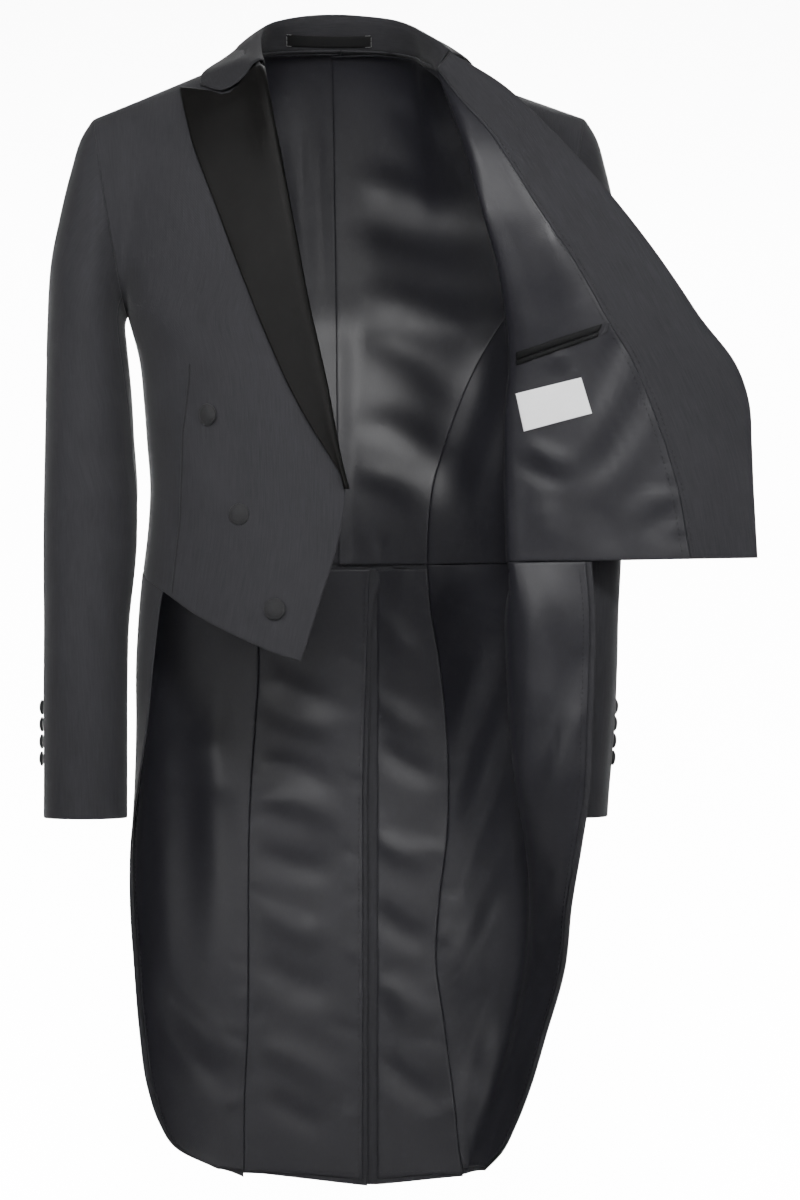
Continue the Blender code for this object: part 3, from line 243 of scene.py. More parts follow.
# Darts: seams that run inside a panel, from one place to another, across and up
DARTS = {
    "front_right": ((-137.5, -290), (-143.5, -348), (-147.6, -419), (-154, -496)),
    "front_left": ((300, -290), (296, -348), (292, -419), (288, -466)),
    "lining_front_left": ((163, -397), (166, -432), (171, -467)),
}


def welded(node):
    """A node's points, in millimetres, and its triangles, with doubled points joined."""
    mesh = frame["nodes"][node].data
    mesh.calc_loop_triangles()
    seen, points, index = {}, [], []
    for vertex in mesh.vertices:
        key = tuple(round(c * 1e5) for c in vertex.co)
        if key not in seen:
            seen[key] = len(points)
            points.append(np.array(vertex.co) / MM)
        index.append(seen[key])
    tris = [tuple(index[i] for i in tri.vertices) for tri in mesh.loop_triangles]
    return np.array(points), [tri for tri in tris if len(set(tri)) == 3]


def walked(third, points, start, beside, rows, cols):
    """A grid of a wall's points, found by stepping from triangle to triangle.

    Where the frame has dropped a point that lies flat between its neighbours, its place is worked out from
    them. None where the start doesn't lead into a grid.
    """
    low, high = start, beside
    first, second = [low], [high]
    for _ in range(cols - 1):
        ahead = third(high, low)
        if ahead is None:
            return None
        low, high = third(ahead, low), ahead
        if low is None:
            return None
        first.append(low)
        second.append(high)
    if len(set(first + second)) < 2 * cols:
        return None
    grid = [points[first], points[second]]
    used = set(first + second)
    corner, beyond = second[:2]
    for _ in range(rows - 2):
        inner = third(corner, beyond)
        outer = None if inner is None else third(corner, inner)
        if outer is None or inner in used or outer in used:
            return None
        row = [points[outer], points[inner]]
        used |= {inner, outer}
        below, under = second, grid[-1]
        second = [outer, inner]
        for j in range(2, cols):
            guess = row[-1] + under[j] - under[j - 1]
            cell = np.linalg.norm(under[j] - under[j - 1])
            found = None
            if second[-1] is not None and below[j - 1] is not None:
                found = third(second[-1], below[j - 1])
            whole = len(points) == 2 * rows * cols
            lost = found is None or found in used
            if whole and lost:
                return None
            if not whole and (lost or np.linalg.norm(points[found] - guess) > WRONG_POINT * cell):
                gaps = np.linalg.norm(points - guess, axis=1)
                gaps[list(used)] = np.inf
                found = int(np.argmin(gaps)) if gaps.min() < NEAR_POINT * cell else None
            second.append(found)
            row.append(guess if found is None else points[found])
            used |= {found} - {None}
        grid.append(np.array(row))
        corner, beyond = second[:2]
    return used, np.array(grid)


def sheets(node):
    """The two faces of a panel's wall as matching grids of points."""
    rows, cols, first, last, _ = PANELS[node]
    points, tris = welded(node)
    across = {}
    for a, b, c in tris:
        across[a, b], across[b, c], across[c, a] = c, a, b
    taken = set()
    result = []
    for _ in range(2):
        near = [k for k in range(len(points)) if k not in taken]
        start = min(near, key=lambda k: np.linalg.norm(points[k] - first))
        best = None
        for forward in (True, False):
            def third(a, b, forward=forward):
                return across.get((a, b) if forward else (b, a))
            for beside in {b for a, b in across if a == start}:
                found = walked(third, points, start, beside, rows, cols)
                if found is None or taken & found[0]:
                    continue
                miss = np.linalg.norm(found[1][-1, -1] - last) - 100 * len(found[0])
                if best is None or miss < best[0]:
                    best = (miss, *found)
        if best is None:
            raise ValueError("no grid in " + node)
        taken |= best[1]
        result.append(best[2])
        first, last = result[0][0, 0], result[0][-1, -1]
    return result


def lines(length):
    """Places along an edge of that length, as shares: even cells, and closer lines next to both ends."""
    count = max(int(math.ceil(length / STEP)), 3)
    even = np.linspace(0, length, count + 1)
    margin = min(EDGE_LINES[-1] * 1.5, length * 0.3)
    inner = even[(even > margin) & (even < length - margin)]
    close = [d for d in EDGE_LINES if d < margin]
    return np.array([0, *close, *inner, *(length - d for d in reversed(close)), length]) / length


def resampled(grid, knots, places):
    """The grid's rows at new places, along smooth curves through the given ones."""
    steps = np.diff(knots).reshape(-1, 1, 1)
    slopes = np.diff(grid, axis=0) / steps
    tangents = np.empty_like(grid)
    tangents[0], tangents[-1] = slopes[0], slopes[-1]
    before, after, growth = slopes[:-1], slopes[1:], steps[1:] / steps[:-1]
    between = (before * steps[1:] + after * steps[:-1]) / (steps[:-1] + steps[1:])
    between = np.where(growth < MOST_SHRINKING, before, between)
    tangents[1:-1] = np.where(growth > MOST_GROWTH, after, between)
    k = np.clip(np.searchsorted(knots, places, side="right") - 1, 0, len(knots) - 2)
    span = (knots[k + 1] - knots[k]).reshape(-1, 1, 1)
    u = ((places - knots[k]) / (knots[k + 1] - knots[k])).reshape(-1, 1, 1)
    return (
        (2 * u**3 - 3 * u**2 + 1) * grid[k] + (u**3 - 2 * u**2 + u) * span * tangents[k]
        + (3 * u**2 - 2 * u**3) * grid[k + 1] + (u**3 - u**2) * span * tangents[k + 1]
    )


def refined(grids):
    """Both faces of a wall on the same fine grid, and the frame's column that each fine column is at."""
    for axis in (0, 1):
        swapped = [np.moveaxis(grid, axis, 0) for grid in grids]
        lengths = np.linalg.norm(np.diff(swapped[0], axis=0), axis=2).mean(axis=1)
        knots = np.concatenate([[0], np.cumsum(np.maximum(lengths, 0.05))])
        places = lines(knots[-1])
        at = np.interp(places * knots[-1], knots, np.arange(len(knots)))
        grids = [np.moveaxis(resampled(grid, knots / knots[-1], places), 0, axis) for grid in swapped]
    return grids, at


def lengths_along(grid, axis):
    """How far each point is along its line of the grid."""
    steps = np.linalg.norm(np.diff(grid, axis=axis), axis=2)
    pad = [(1, 0), (0, 0)] if axis == 0 else [(0, 0), (1, 0)]
    return np.cumsum(np.pad(steps, pad), axis=axis)


def unit(ways):
    return ways / np.maximum(np.linalg.norm(ways, axis=-1, keepdims=True), 1e-9)


def normals_of(grid):
    return unit(np.cross(np.gradient(grid, axis=0), np.gradient(grid, axis=1)))


def edge_ends(*grids):
    """Each of the four edges: the grids seen with that edge as row 0, and the edge's number."""
    for number, (axis, flip) in enumerate(((0, 1), (0, -1), (1, 1), (1, -1))):
        yield number, [np.moveaxis(grid, axis, 0)[::flip] for grid in grids]


def let_out(grid, by):
    """The grid with its edges moved out by those distances, to close the gaps of the frame's seams."""
    result = grid.copy()
    for number, (before, after) in edge_ends(grid, result):
        after[0] += unit(before[0] - before[1]) * by[number]
    return result


def edges_turned(outer, inner):
    """Rounds the wall off at its edges, which leaves a groove where two panels are sewn together."""
    rounded = outer.copy(), inner.copy()
    for _, (out, into, new_out, new_in) in edge_ends(outer, inner, *rounded):
        for row, share in enumerate(EDGE_ROUNDING):
            thick = into[row] - out[row]
            new_out[row] += thick * share
            new_in[row] -= thick * share
    return rounded


def fade(values, low, high):
    """A smooth step from 0 at low to 1 at high."""
    t = np.clip((values - low) / (high - low), 0, 1)
    return t * t * (3 - 2 * t)


def curve(points):
    """A smooth line through points."""
    points = np.array(points, float)
    if len(points) == 2:
        return points
    ends = np.vstack([2 * points[0] - points[1], points, 2 * points[-1] - points[-2]])
    fine = []
    for k in range(len(points) - 1):
        a, b, c, d = ends[k:k + 4]
        for u in np.linspace(0, 1, CURVE_STEPS, endpoint=False):
            squared = (2 * a - 5 * b + 4 * c - d) * u**2
            cubed = (3 * b - a - 3 * c + d) * u**3
            fine.append((2 * b + (c - a) * u + squared + cubed) / 2)
    return np.array(fine + [points[-1]])


def puckers(group):
    """Short creases that run out of a seam, uneven in place, length and depth."""
    draw = np.random.default_rng(11)
    for reach, points in SEAMS[group]:
        line = curve(points)
        steps = np.linalg.norm(np.diff(line, axis=0), axis=1)
        along = np.concatenate([[0], np.cumsum(steps)])
        at = draw.uniform(*PUCKER_START)
        while at < along[-1] - PUCKER_START[0]:
            k = min(int(np.searchsorted(along, at)), len(steps)) - 1
            way = (line[k + 1] - line[k]) / steps[k]
            place = line[k] + way * (at - along[k])
            out = np.array([-way[1], way[0]]) * draw.choice((-1, 1)) + way * draw.uniform(*PUCKER_LEAN)
            stop = place + out * reach * draw.uniform(*PUCKER_LENGTH)
            height = draw.choice((-1, 1)) * draw.uniform(*PUCKER_HEIGHT)
            width = draw.uniform(*PUCKER_WIDTH)
            yield height, width, np.array([place, stop])
            at += draw.uniform(*PUCKER_GAP)


def raised(places, line, height, width, start_fade):
    """How far one crease lifts the cloth at places across and up."""
    begin, step = line[:-1], np.diff(line, axis=0)
    gap = places[:, None] - begin
    t = np.clip(np.sum(gap * step, axis=2) / np.sum(step * step, axis=1), 0, 1)
    distances = np.linalg.norm(gap - t[..., None] * step, axis=2)
    best = np.argmin(distances, axis=1)
    index = np.arange(len(places))
    along = (best + t[index, best]) / len(step)
    off = distances[index, best] / (width * (0.75 + 0.5 * along))
    profile = np.exp(-off**2) - TROUGH_DEPTH * np.exp(-(off / TROUGH_WIDTH) ** 2)
    return height * CREASE_GAIN * profile * fade(along, -0.01, start_fade) * fade(1 - along, -0.01, END_FADE)


# Each group's creases: height, half width, line, and the share of its length in which it rises
LIFTS = {
    group: [(height, width, curve(line), START_FADE) for height, width, line in rows] + (
        [(*pucker, SEAM_FADE) for pucker in puckers(group)] if group in SEAMS else []
    )
    for group, rows in CREASES.items()
}


def waves(x, z):
    """The slight waves that any hanging cloth has."""
    return 0.5 * np.sin(x / 31 + z / 57 + 1) + 0.4 * np.sin(x / 19 - z / 43)


def lift(group, x, z):
    """How far the creases of a group bring the cloth towards the viewer at places across and up."""
    places = np.stack([x.reshape(-1), z.reshape(-1)], axis=1)
    total = waves(places[:, 0], places[:, 1])
    for height, width, line, start_fade in LIFTS[group]:
        margin = 5 * width
        near = np.all((places > line.min(axis=0) - margin) & (places < line.max(axis=0) + margin), axis=1)
        if near.any():
            total[near] += raised(places[near], line, height, width, start_fade)
    return total.reshape(x.shape)


def creased(node, outer, inner, cols):
    """Both faces of a panel moved together by the creases of the cloth there."""
    x, y, z = np.moveaxis(outer, 2, 0)
    move = np.zeros(outer.shape)
    if node in BODY_PANELS:
        share = fade(y, *BACK_FROM)
        if node in BODY_FADE_OUT:
            share = share * (1 - fade(cols, *BODY_FADE_OUT[node]))
        move[..., 1] -= lift("body", x, z) * share
    if node in SHEET_FADE:
        move[..., 1] -= lift("sheet", x, z) * fade(cols, *SHEET_FADE[node])
    if node in FLANK_FADE:
        move[..., 1] -= lift("flank", x, z) * fade(cols, *FLANK_FADE[node])
    if node in ("front_right", "lapel_right"):
        move[..., 1] -= lift("front", x, z) * (1 - fade(y, *FRONT_UNTIL))
    if "sleeve" in node:
        turned = np.where(y < -10, z, z + 45)
        side = 1 if node.endswith("right") else -1
        way = normals_of(outer)
        way *= np.sign(np.sum(way * (outer - inner)))
        share = fade(z, *CUFF_HELD) * SLEEVE_CREASES
        move += way * (lift("sleeve", side * x, turned) * share)[..., None]
    return outer + move, inner + move


def mesh_object(name, points, faces, uvs, look):
    """A smooth mesh of one material; points are in millimetres, and uvs, if any, in metres of cloth."""
    mesh = bpy.data.meshes.new(name)
    mesh.from_pydata((np.asarray(points) * MM).tolist(), [], faces)
    if uvs is not None:
        layer = mesh.uv_layers.new(name="cloth")
        corners = np.empty(len(mesh.loops), np.int64)
        mesh.loops.foreach_get("vertex_index", corners)
        layer.data.foreach_set("uv", np.asarray(uvs, float)[corners].reshape(-1))
    mesh.shade_smooth()
    mesh.materials.append(look)
    made = bpy.data.objects.new(name, mesh)
    bpy.context.scene.collection.objects.link(made)
    return made


def cells(rows, cols, base, flip):
    """The faces of a grid whose points are numbered from base."""
    faces = []
    for i in range(rows - 1):
        for j in range(cols - 1):
            a = base + i * cols + j
            quad = (a, a + 1, a + cols + 1, a + cols)
            faces.append(quad[::-1] if flip else quad)
    return faces


def closed_wall(outer, inner):
    """Points and faces of a wall between two matching grids."""
    rows, cols = outer.shape[:2]
    count = rows * cols
    inward = np.mean(np.sum(normals_of(outer) * (inner - outer), axis=2)) > 0
    faces = cells(rows, cols, 0, inward) + cells(rows, cols, count, not inward)
    loop = list(range(cols)) + [i * cols + cols - 1 for i in range(1, rows)]
    loop += [(rows - 1) * cols + j for j in range(cols - 2, -1, -1)]
    loop += [i * cols for i in range(rows - 2, 0, -1)]
    for a, b in zip(loop, loop[1:] + loop[:1]):
        rim = (b, a, a + count, b + count)
        faces.append(rim[::-1] if inward else rim)
    return np.concatenate([outer.reshape(-1, 3), inner.reshape(-1, 3)]), faces


class Look:
    """A material being built from nodes."""

    def __init__(self, name):
        self.material = bpy.data.materials.new(name)
        self.material.use_nodes = True
        self.nodes = self.material.node_tree.nodes
        self.shader = self.nodes["Principled BSDF"]

    def add(self, kind, settings=None, **inputs):
        """A node; each input is a value or another node's output, by its name or as i and its number."""
        node = self.nodes.new("ShaderNode" + kind)
        for key, value in (settings or {}).items():
            setattr(node, key, value)
        for key, value in inputs.items():
            numbered = key[0] == "i" and key[1:].isdigit()
            self.put(node, int(key[1:]) if numbered else key.replace("_", " "), value)
        return node

    def put(self, node, key, value):
        if isinstance(value, bpy.types.NodeSocket):
            self.material.node_tree.links.new(value, node.inputs[key])
        else:
            node.inputs[key].default_value = value

    def sums(self, operation, *values):
        inputs = {f"i{k}": value for k, value in enumerate(values)}
        return self.add("Math", {"operation": operation}, **inputs).outputs[0]

    def vector(self, operation, **inputs):
        return self.add("VectorMath", {"operation": operation}, **inputs)

    def scaled(self, source, size, turn=0.0):
        """The cloth's own coordinates, counted in cells of that size in millimetres."""
        scale = (1 / (size[0] * MM), 1 / (size[1] * MM), 1)
        return self.add("Mapping", Vector=source, Rotation=(0, 0, turn), Scale=scale).outputs[0]

    def noise(self, where, detail, rough=0.6):
        return self.add("TexNoise", Vector=where, Scale=1.0, Detail=detail, Roughness=rough).outputs["Fac"]

    def blend(self, factor, low, high):
        return self.add("MixRGB", Fac=factor, Color1=(*low, 1), Color2=(*high, 1)).outputs[0]


def seam_groove(look, where, start, stop):
    """How deep in the groove of a seam a place of the cloth is, from 1 in its middle to 0 beside it."""
    (u0, v0), (u1, v1) = start, stop
    size = (u1 - u0) ** 2 + (v1 - v0) ** 2
    far = look.vector("SUBTRACT", i0=where, i1=(u0, v0, 0)).outputs[0]
    along = look.vector("DOT_PRODUCT", i0=far, i1=((u1 - u0) / size, (v1 - v0) / size, 0)).outputs["Value"]
    share = look.add("Clamp", Value=along).outputs[0]
    spot = look.vector("SCALE", i0=(u1 - u0, v1 - v0, 0), Scale=share).outputs[0]
    off = look.vector("DISTANCE", i0=far, i1=spot).outputs["Value"]
    low, high = GROOVE
    return look.add("MapRange", Value=off, From_Min=low, From_Max=high, To_Min=1.0, To_Max=0.0).outputs[0]


def cloth_look(name, dark, light, rough, sheen, streak, bump, shine, seams=()):
    """Woven cloth: uneven yarns along its length, a diagonal twill, wear, and the seams that cross it, their
    grooves darkened with painted shade.
    """
    look = Look(name)
    where = look.add("UVMap", {"uv_map": "cloth"}).outputs[0]
    yarns = look.noise(look.scaled(where, streak), 4.0, 0.7)
    specks = look.noise(look.scaled(where, (0.7, 0.9)), 1.0)
    clouds = look.noise(look.scaled(where, (60, 90)), 2.0)
    tone = look.sums("ADD", look.sums("MULTIPLY", yarns, 0.55), look.sums("MULTIPLY", specks, 0.2))
    tone = look.sums("ADD", tone, look.sums("MULTIPLY", clouds, 0.25))
    tone = look.sums("MULTIPLY_ADD", look.sums("SUBTRACT", tone, 0.5), 2.2, 0.5)
    colour = look.blend(look.add("Clamp", Value=tone).outputs[0], dark, light)
    ribs = look.scaled(where, TWILL_RIB, TWILL_TURN)
    twill = look.add("TexWave", {"bands_direction": "X"}, Vector=ribs, Scale=1.0, Distortion=0.6, Detail=1.0)
    twill = twill.outputs["Fac"]
    height = look.sums("ADD", look.sums("MULTIPLY", twill, 0.5), look.sums("MULTIPLY", yarns, 1.0))
    # Each dart's groove is pressed in by the bump and darkened in colour with painted shade
    for start, stop in seams:
        groove = seam_groove(look, where, start, stop)
        height = look.sums("SUBTRACT", height, look.sums("MULTIPLY", groove, GROOVE_DEPTH))
        painted_shade_share = look.sums("MULTIPLY", groove, PAINTED_GROOVE_SHADE_SHARE)
        painted_groove_shade = (*(c * PAINTED_GROOVE_SHADE_TONE for c in dark), 1)
        colour = look.add("MixRGB", Fac=painted_shade_share, Color1=colour, Color2=painted_groove_shade).outputs[0]
    worn = look.sums("MULTIPLY_ADD", look.sums("SUBTRACT", clouds, 0.5), 0.12, rough)
    look.put(look.shader, "Base Color", colour)
    look.put(look.shader, "Roughness", worn)
    look.put(look.shader, "Sheen Weight", sheen)
    look.put(look.shader, "Sheen Roughness", 0.45)
    look.put(look.shader, "Specular IOR Level", shine)
    bumps = look.add("Bump", Strength=bump, Distance=0.0004, Height=height)
    look.put(look.shader, "Normal", bumps.outputs[0])
    return look.material


GROOVE = (0.0004, 0.0016)  # half widths of a dart's groove at its bottom and top, in metres
GROOVE_DEPTH = 6.0  # as a multiple of a yarn's height
PAINTED_GROOVE_SHADE_TONE, PAINTED_GROOVE_SHADE_SHARE = 0.3, 0.55  # painted shade in a dart's groove: its colour, as a share of the dark one, and how much of it is mixed in
TWILL_RIB, TWILL_TURN = (3.1, 3.1), 0.8  # size of a rib in millimetres, and how it is turned to the length
# Colour range, roughness, sheen, size of a yarn's streak across and along in millimetres, bump and shine
CLOTHS = {
    "wool": ((0.0125, 0.0124, 0.0142), (0.0290, 0.0288, 0.0325), 0.85, 0.08, (1.3, 30), 0.35, 0.20),
    "collar_wool": ((0.0105, 0.0104, 0.0118), (0.0240, 0.0238, 0.0265), 0.88, 0.06, (1.3, 20), 0.35, 0.18),
    "satin": ((0.0024, 0.0023, 0.0022), (0.0050, 0.0047, 0.0045), 0.58, 0.0, (0.8, 8), 0.15, 0.12),
    "twill": ((0.0078, 0.0076, 0.0100), (0.0138, 0.0135, 0.0172), 0.42, 0.02, (1.0, 6), 0.18, 0.30),
    "welt": ((0.0020, 0.0020, 0.0022), (0.0045, 0.0045, 0.0048), 0.60, 0.0, (1.0, 6), 0.25, 0.15),
    "white_label": ((0.74, 0.74, 0.75), (0.90, 0.90, 0.91), 0.60, 0.0, (0.6, 3), 0.25, 0.2),
    "black_label": ((0.0018, 0.0018, 0.0020), (0.0040, 0.0040, 0.0042), 0.65, 0.0, (0.6, 3), 0.25, 0.15),
    "covered_button": ((0.0085, 0.0085, 0.0092), (0.0220, 0.0220, 0.0235), 0.75, 0.08, (0.9, 2), 0.45, 0.25),
    "thread": ((0.0020, 0.0020, 0.0022), (0.0050, 0.0050, 0.0055), 0.65, 0.0, (0.5, 2), 0.2, 0.2),
    "pale_thread": ((0.10, 0.10, 0.10), (0.20, 0.20, 0.20), 0.60, 0.0, (0.5, 2), 0.2, 0.2),
}
LOOKS = {name: cloth_look(name, *values) for name, values in CLOTHS.items()}
SLOTS = {entry["node"]: entry["material_slot"] for entry in frame["record"]["subparts"]}


def piece_of(name, points, faces, uvs, look, slot, *nodes):
    """A piece of the coat, in the place of those nodes of the frame."""
    made = mesh_object(name, points, faces, uvs, look)
    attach(made, "root")
    if nodes:
        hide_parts(*nodes)
    return made


def cloth_piece(node):
    """The fine cloth that stands for a panel of the frame, and its two faces."""
    (outer, inner), cols = refined(sheets(node))
    grow = PANELS[node][4]
    outer, inner = let_out(outer, grow), let_out(inner, grow)
    look = LOOKS[SLOTS[node]]
    if node in DARTS:
        flat = flat_of(outer)
        x, y, z = np.moveaxis(outer, 2, 0)
        away = [np.hypot(x - across, z - up) + np.maximum(y, 0) for across, up in DARTS[node]]
        spots = [flat[np.argmin(gap)] for gap in away]
        # A look of its own, whose darts' grooves are darkened with painted shade
        look = cloth_look(node + "_cloth", *CLOTHS[SLOTS[node]], seams=list(zip(spots, spots[1:])))
    return wall_piece(node, *creased(node, outer, inner, cols), look)


def flat_of(grid):
    """Each point's place on the flat cloth, in metres, as lengths along the panel's own lines."""
    return np.stack([lengths_along(grid, 1), lengths_along(grid, 0)], axis=2).reshape(-1, 2) * MM


def wall_piece(node, outer, inner, look):
    """A closed wall between two faces, in the place of a node."""
    flat = flat_of(outer)
    u, v = lengths_along(outer, 1), lengths_along(outer, 0)
    outer, inner = edges_turned(outer, inner)
    points, faces = closed_wall(outer, inner)
    piece = piece_of("cloth_" + node, points, faces, np.concatenate([flat, flat]), look, SLOTS[node], node)
    return outer, inner


def stitches(name, line, out, look, slot, pitch=5.2, size=(2.8, 0.55, 0.40)):
    """A row of single stitches along a line on the cloth."""
    long, wide, high = size
    steps = np.linalg.norm(np.diff(line, axis=0), axis=1)
    along = np.concatenate([[0], np.cumsum(steps)])
    points, faces = [], []
    for k, at in enumerate(np.arange(pitch / 2, along[-1] - pitch / 2, pitch)):
        ends = np.array([at - long / 2, at, at + long / 2]) + 0.3 * math.sin(k * 2.4)
        spots = np.stack([np.interp(ends, along, line[:, c]) for c in range(3)], axis=1)
        up = unit(np.array([np.interp(at, along, out[:, c]) for c in range(3)]))
        side = unit(np.cross(spots[2] - spots[0], up)) * wide / 2
        base = len(points)
        for spot, swell in zip(spots, (0.35, 1.0, 0.35)):
            half, top = side * swell, spot + up * high * swell
            points += [spot - half, spot + half, top + half * 0.5, top - half * 0.5]
        for section in (0, 4):
            for j in range(4):
                a, b = base + section + j, base + section + (j + 1) % 4
                faces.append((a, b, b + 4, a + 4))
        faces += [(base + 3, base + 2, base + 1, base), (base + 8, base + 9, base + 10, base + 11)]
    uvs = np.array(points)[:, [0, 2]] * MM
    return piece_of(name, points, faces, uvs, look, slot)


def button_piece(node, facing, moved):
    """A cloth-covered button: a dome inside a rolled rim, turned at the place of the frame's button."""
    points, _ = welded(node)
    centre = points.mean(axis=0)
    _, _, axes = np.linalg.svd(points - centre)
    way = axes[2] * (1 if np.dot(axes[2], facing) > 0 else -1)
    heights = (points - centre) @ way
    radius = np.linalg.norm((points - centre) - heights[:, None] * way, axis=1).max()
    base = centre + way * heights.min() + moved
    thick = heights.max() - heights.min()
    first = unit(np.cross(way, (0, 0, 1.0)))
    second = np.cross(way, first)
    made, uvs = [], []
    for r, h in BUTTON_PROFILE:
        for k in range(BUTTON_SEGMENTS):
            turn = math.tau * k / BUTTON_SEGMENTS
            fold = 1 + (RIM_FOLDS * math.sin(11 * turn) if r > 0.9 else 0)
            flat = (first * math.cos(turn) + second * math.sin(turn)) * r * radius * fold
            made.append(base + flat + way * h * thick)
            uvs.append((r * radius * math.cos(turn) * MM, r * radius * math.sin(turn) * MM))
    faces = []
    for ring in range(len(BUTTON_PROFILE) - 1):
        for k in range(BUTTON_SEGMENTS):
            a, b = ring * BUTTON_SEGMENTS + k, ring * BUTTON_SEGMENTS + (k + 1) % BUTTON_SEGMENTS
            faces.append((a, b, b + BUTTON_SEGMENTS, a + BUTTON_SEGMENTS))
    faces.append(tuple(range(BUTTON_SEGMENTS))[::-1])
    faces.append(tuple(range(len(made) - BUTTON_SEGMENTS, len(made))))
    return piece_of("covered_" + node, made, faces, uvs, LOOKS["covered_button"], "covered_button", node)


# Half of a button's section, from under its rim to its top: shares of its radius and of its thickness
BUTTON_PROFILE = (
    (0.80, 0.0), (0.92, 0.04), (0.98, 0.14), (1.0, 0.30), (0.985, 0.44), (0.95, 0.53), (0.91, 0.55),
    (0.875, 0.545), (0.85, 0.575), (0.80, 0.655), (0.70, 0.77), (0.56, 0.87), (0.40, 0.94), (0.22, 0.985),
    (0.06, 1.0),
)
RIM_FOLDS = 0.006  # how far the cloth's gathers stand out of the rim, as a share of the radius
FACES = {node: cloth_piece(node) for node in PANELS}


def face_tree(side, *nodes):
    """A search tree over one face of fine panels: 0 the outer face, 1 the inner one."""
    points, faces = [], []
    for node in nodes:
        grid = FACES[node][side]
        faces += cells(*grid.shape[:2], len(points), False)
        points += [Vector(p) for p in grid.reshape(-1, 3)]
    return BVHTree.FromPolygons(points, faces)


OPENED = face_tree(1, "lining_front_left", "facing_left")
STAND = face_tree(0, "collar")
# What lies flat on the cloth, as seen from the front: what it is on, its corners across and up, its thickness
LAID = (
    ("pocket_welt_lower", OPENED, ((165, -289), (239, -264), (240, -259.5), (165, -284.5)), 1.6),
    ("pocket_welt_upper", OPENED, ((165, -283.8), (240, -258.8), (243, -252), (165, -277)), 1.6),
    ("pocket_tab", OPENED, ((242, -262), (248, -260), (250, -250), (245, -251)), 1.4),
    ("inner_label", OPENED, ((172, -350), (234, -334), (224, -301), (164.5, -315)), 0.8),
    ("neck_label", STAND, ((-51, 22), (30, 22), (30, 32.5), (-51, 32.5)), 0.8),
)
LAID_GAP = 0.3  # how far off the cloth it lies
BEFORE_COAT = -300  # a depth in front of the whole coat


def laid_piece(node, tree, corners, thick):
    """A thin piece that lies on the cloth, its points found by looking at the cloth from the front."""
    a, b, c, d = (np.array(corner, float) for corner in corners)
    up, across = lines(np.linalg.norm(d - a)), lines(np.linalg.norm(b - a))
    grid = np.empty((len(up), len(across), 3))
    for i, v in enumerate(up):
        for j, u in enumerate(across):
            x, z = (a * (1 - u) + b * u) * (1 - v) + (d * (1 - u) + c * u) * v
            grid[i, j] = tree.ray_cast(Vector((x, BEFORE_COAT, z)), Vector((0, 1, 0)))[0]
    way = normals_of(grid)
    way *= -np.sign(way[..., 1:2])
    return wall_piece(node, grid + way * (LAID_GAP + thick), grid + way * LAID_GAP, LOOKS[SLOTS[node]])


for node, *laid in LAID:
    FACES[node] = laid_piece(node, *laid)

# Buttons move with the cloth that they are sewn to: which creases lift it, and which way the button faces
BUTTON_ON = {"right": ("front", (0, -1, 0)), "left": ("sheet", (0, 1, 0)), "waist": ("body", (0, 1, 0))}
CUFF_MIDDLE = {"left": (224, -1), "right": (-236, -29)}  # across and deep
for node in frame["nodes"]:
    if not node.startswith("button"):
        continue
    centre = welded(node)[0].mean(axis=0)
    if "cuff" in node:
        middle = CUFF_MIDDLE["left" if "left" in node else "right"]
        button_piece(node, centre - np.array([*middle, centre[2]]), np.zeros(3))
    else:
        group, facing = BUTTON_ON[node.split("_")[1]]
        button_piece(node, facing, np.array([0, -float(lift(group, centre[:1], centre[2:])[0]), 0]))

# Rows of stitches along the linings' turned edges: panel, the axis across the edge, and which of its two ends
STITCHED = (
    ("lining_front_left", 1, -1), ("facing_left", 1, 0), ("lining_tail_side_left", 1, -1),
    ("lining_tail_side_left", 0, 0), ("lining_tail_side_right", 1, -1), ("lining_tail_side_right", 0, 0),
    ("lining_tail_back_right", 1, 0), ("lining_tail_back_right", 0, 0), ("lining_tail_back_left", 0, 0),
)
STITCH_LINE = 3  # how many fine lines inside the edge they are
for node, axis, end in STITCHED:
    at = STITCH_LINE if end == 0 else -1 - STITCH_LINE
    outer, inner = (np.take(face, at, axis=axis) for face in FACES[node])
    stitches(f"stitches_{node}_{axis}", inner, unit(inner - outer), LOOKS["thread"], "twill")


def label_stitches(name, *at):
    """Pale stitches along a line of the neck label's points."""
    outer, inner = (face[at] for face in FACES["neck_label"])
    out = unit(outer - inner)
    stitches("label_" + name, outer, out, LOOKS["pale_thread"], "black_label", 1.9, (2.0, 0.7, 0.6))


# The stitches that hold the two ends of the neck label, and a few points round each corner
for name, edge, columns in (("low", 0, slice(0, 5)), ("high", -1, slice(-5, None))):
    label_stitches("end_" + name, slice(None), edge)
    for row in (0, -1):
        label_stitches(f"corner_{name}_{row}", row, columns)

# Camera, white surroundings and soft light
camera_data = bpy.data.cameras.new("camera")
camera = bpy.data.objects.new("camera", camera_data)
bpy.context.scene.collection.objects.link(camera)
SENSOR = 36
CAMERA_AWAY, SEEN_HEIGHT = 4.5, 1.128  # metres from the middle of the coat, and how much is seen there
camera.location = (0.0573, -CAMERA_AWAY, -0.5057)
camera.rotation_euler = (math.radians(90), 0, 0)
camera_data.sensor_width = SENSOR
camera_data.lens = SENSOR * CAMERA_AWAY / SEEN_HEIGHT
bpy.context.scene.camera = camera


def paper_look():
    look = Look("white_paper")
    where = look.add("NewGeometry").outputs["Position"]
    tone = look.add("TexNoise", Vector=where, Scale=4.0, Detail=2.0).outputs["Fac"]
    look.put(look.shader, "Base Color", look.blend(tone, [PAPER * 0.98] * 3, [PAPER] * 3))
    look.put(look.shader, "Roughness", 0.95)
    return look.material


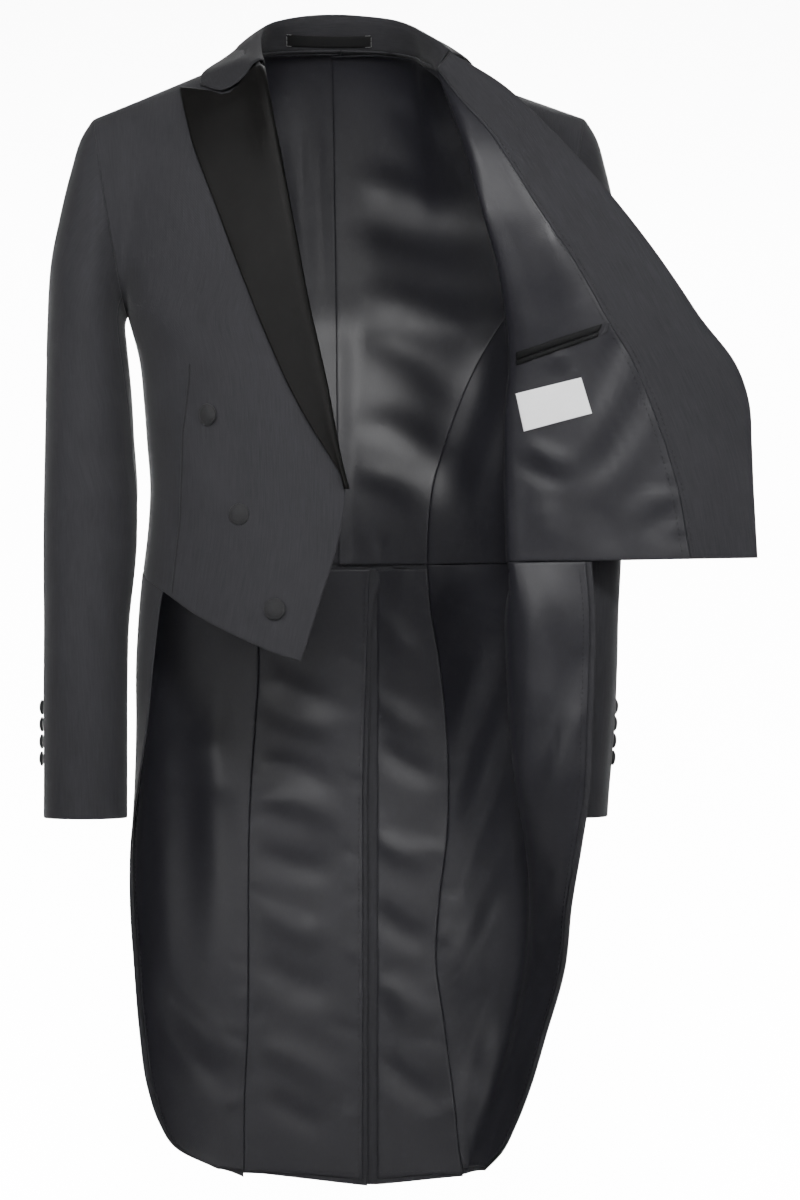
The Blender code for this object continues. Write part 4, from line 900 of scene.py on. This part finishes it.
# A white paper sweep: the floor below the coat, curving up into a far wall behind and before it
PAPER = 0.93
FLOOR_Z, SWEEP_FROM, SWEEP_RADIUS, SWEEP_TOP, HALF_WIDTH = -3200, 10000, 4000, 10000, 30000
profile = []
for turn in np.linspace(0, math.pi / 2, 25):
    out, up = math.sin(turn), 1 - math.cos(turn)
    profile.append((SWEEP_FROM + SWEEP_RADIUS * out, FLOOR_Z + SWEEP_RADIUS * up))
profile.append((SWEEP_FROM + SWEEP_RADIUS, SWEEP_TOP))
profile = [(-y, z) for y, z in profile[::-1]] + profile
points = [(side * HALF_WIDTH, y, z) for y, z in profile for side in (-1, 1)]
strips = [(2 * k, 2 * k + 1, 2 * k + 3, 2 * k + 2) for k in range(len(profile) - 1)]
mesh_object("sweep", points, strips, None, paper_look())

world = bpy.data.worlds.new("world")
world.use_nodes = True
world.node_tree.nodes["Background"].inputs["Color"].default_value = (1, 1, 1, 1)
world.node_tree.nodes["Background"].inputs["Strength"].default_value = 0.11
bpy.context.scene.world = world


def area_light(name, place, target, size, power, spread=180):
    """A soft rectangle of light that faces the target; spread, in degrees, narrows its beam."""
    light = bpy.data.lights.new(name, "AREA")
    light.shape = "RECTANGLE"
    light.size, light.size_y = size
    light.energy = power
    light.spread = math.radians(spread)
    made = bpy.data.objects.new(name, light)
    made.location = place
    made.rotation_euler = (Vector(target) - Vector(place)).to_track_quat("-Z", "Y").to_euler()
    bpy.context.scene.collection.objects.link(made)


area_light("key", (-1.9, -2.6, 0.9), (0, 0, -0.18), (1.2, 1.6), 5.8, 40)
area_light("fill", (2.2, -2.6, 0.3), (0, 0, -0.22), (1.2, 1.6), 2.9, 40)
area_light("front", (0.2, -3.2, 1.3), (0.05, 0, -0.32), (0.8, 0.6), 4.4, 34)
area_light("rear", (0.4, 2.6, 1.4), (0, 0, -0.5), (1.6, 1.2), 60)
for x, side in ((-2.4, "left"), (2.4, "right")):
    area_light("rear_wall_" + side, (x, 9, -0.4), (x, 14, -0.4), (1.0, 3.0), 2700)
    area_light("front_wall_" + side, (x, -9, -0.4), (x, -14, -0.4), (1.0, 3.0), 150)
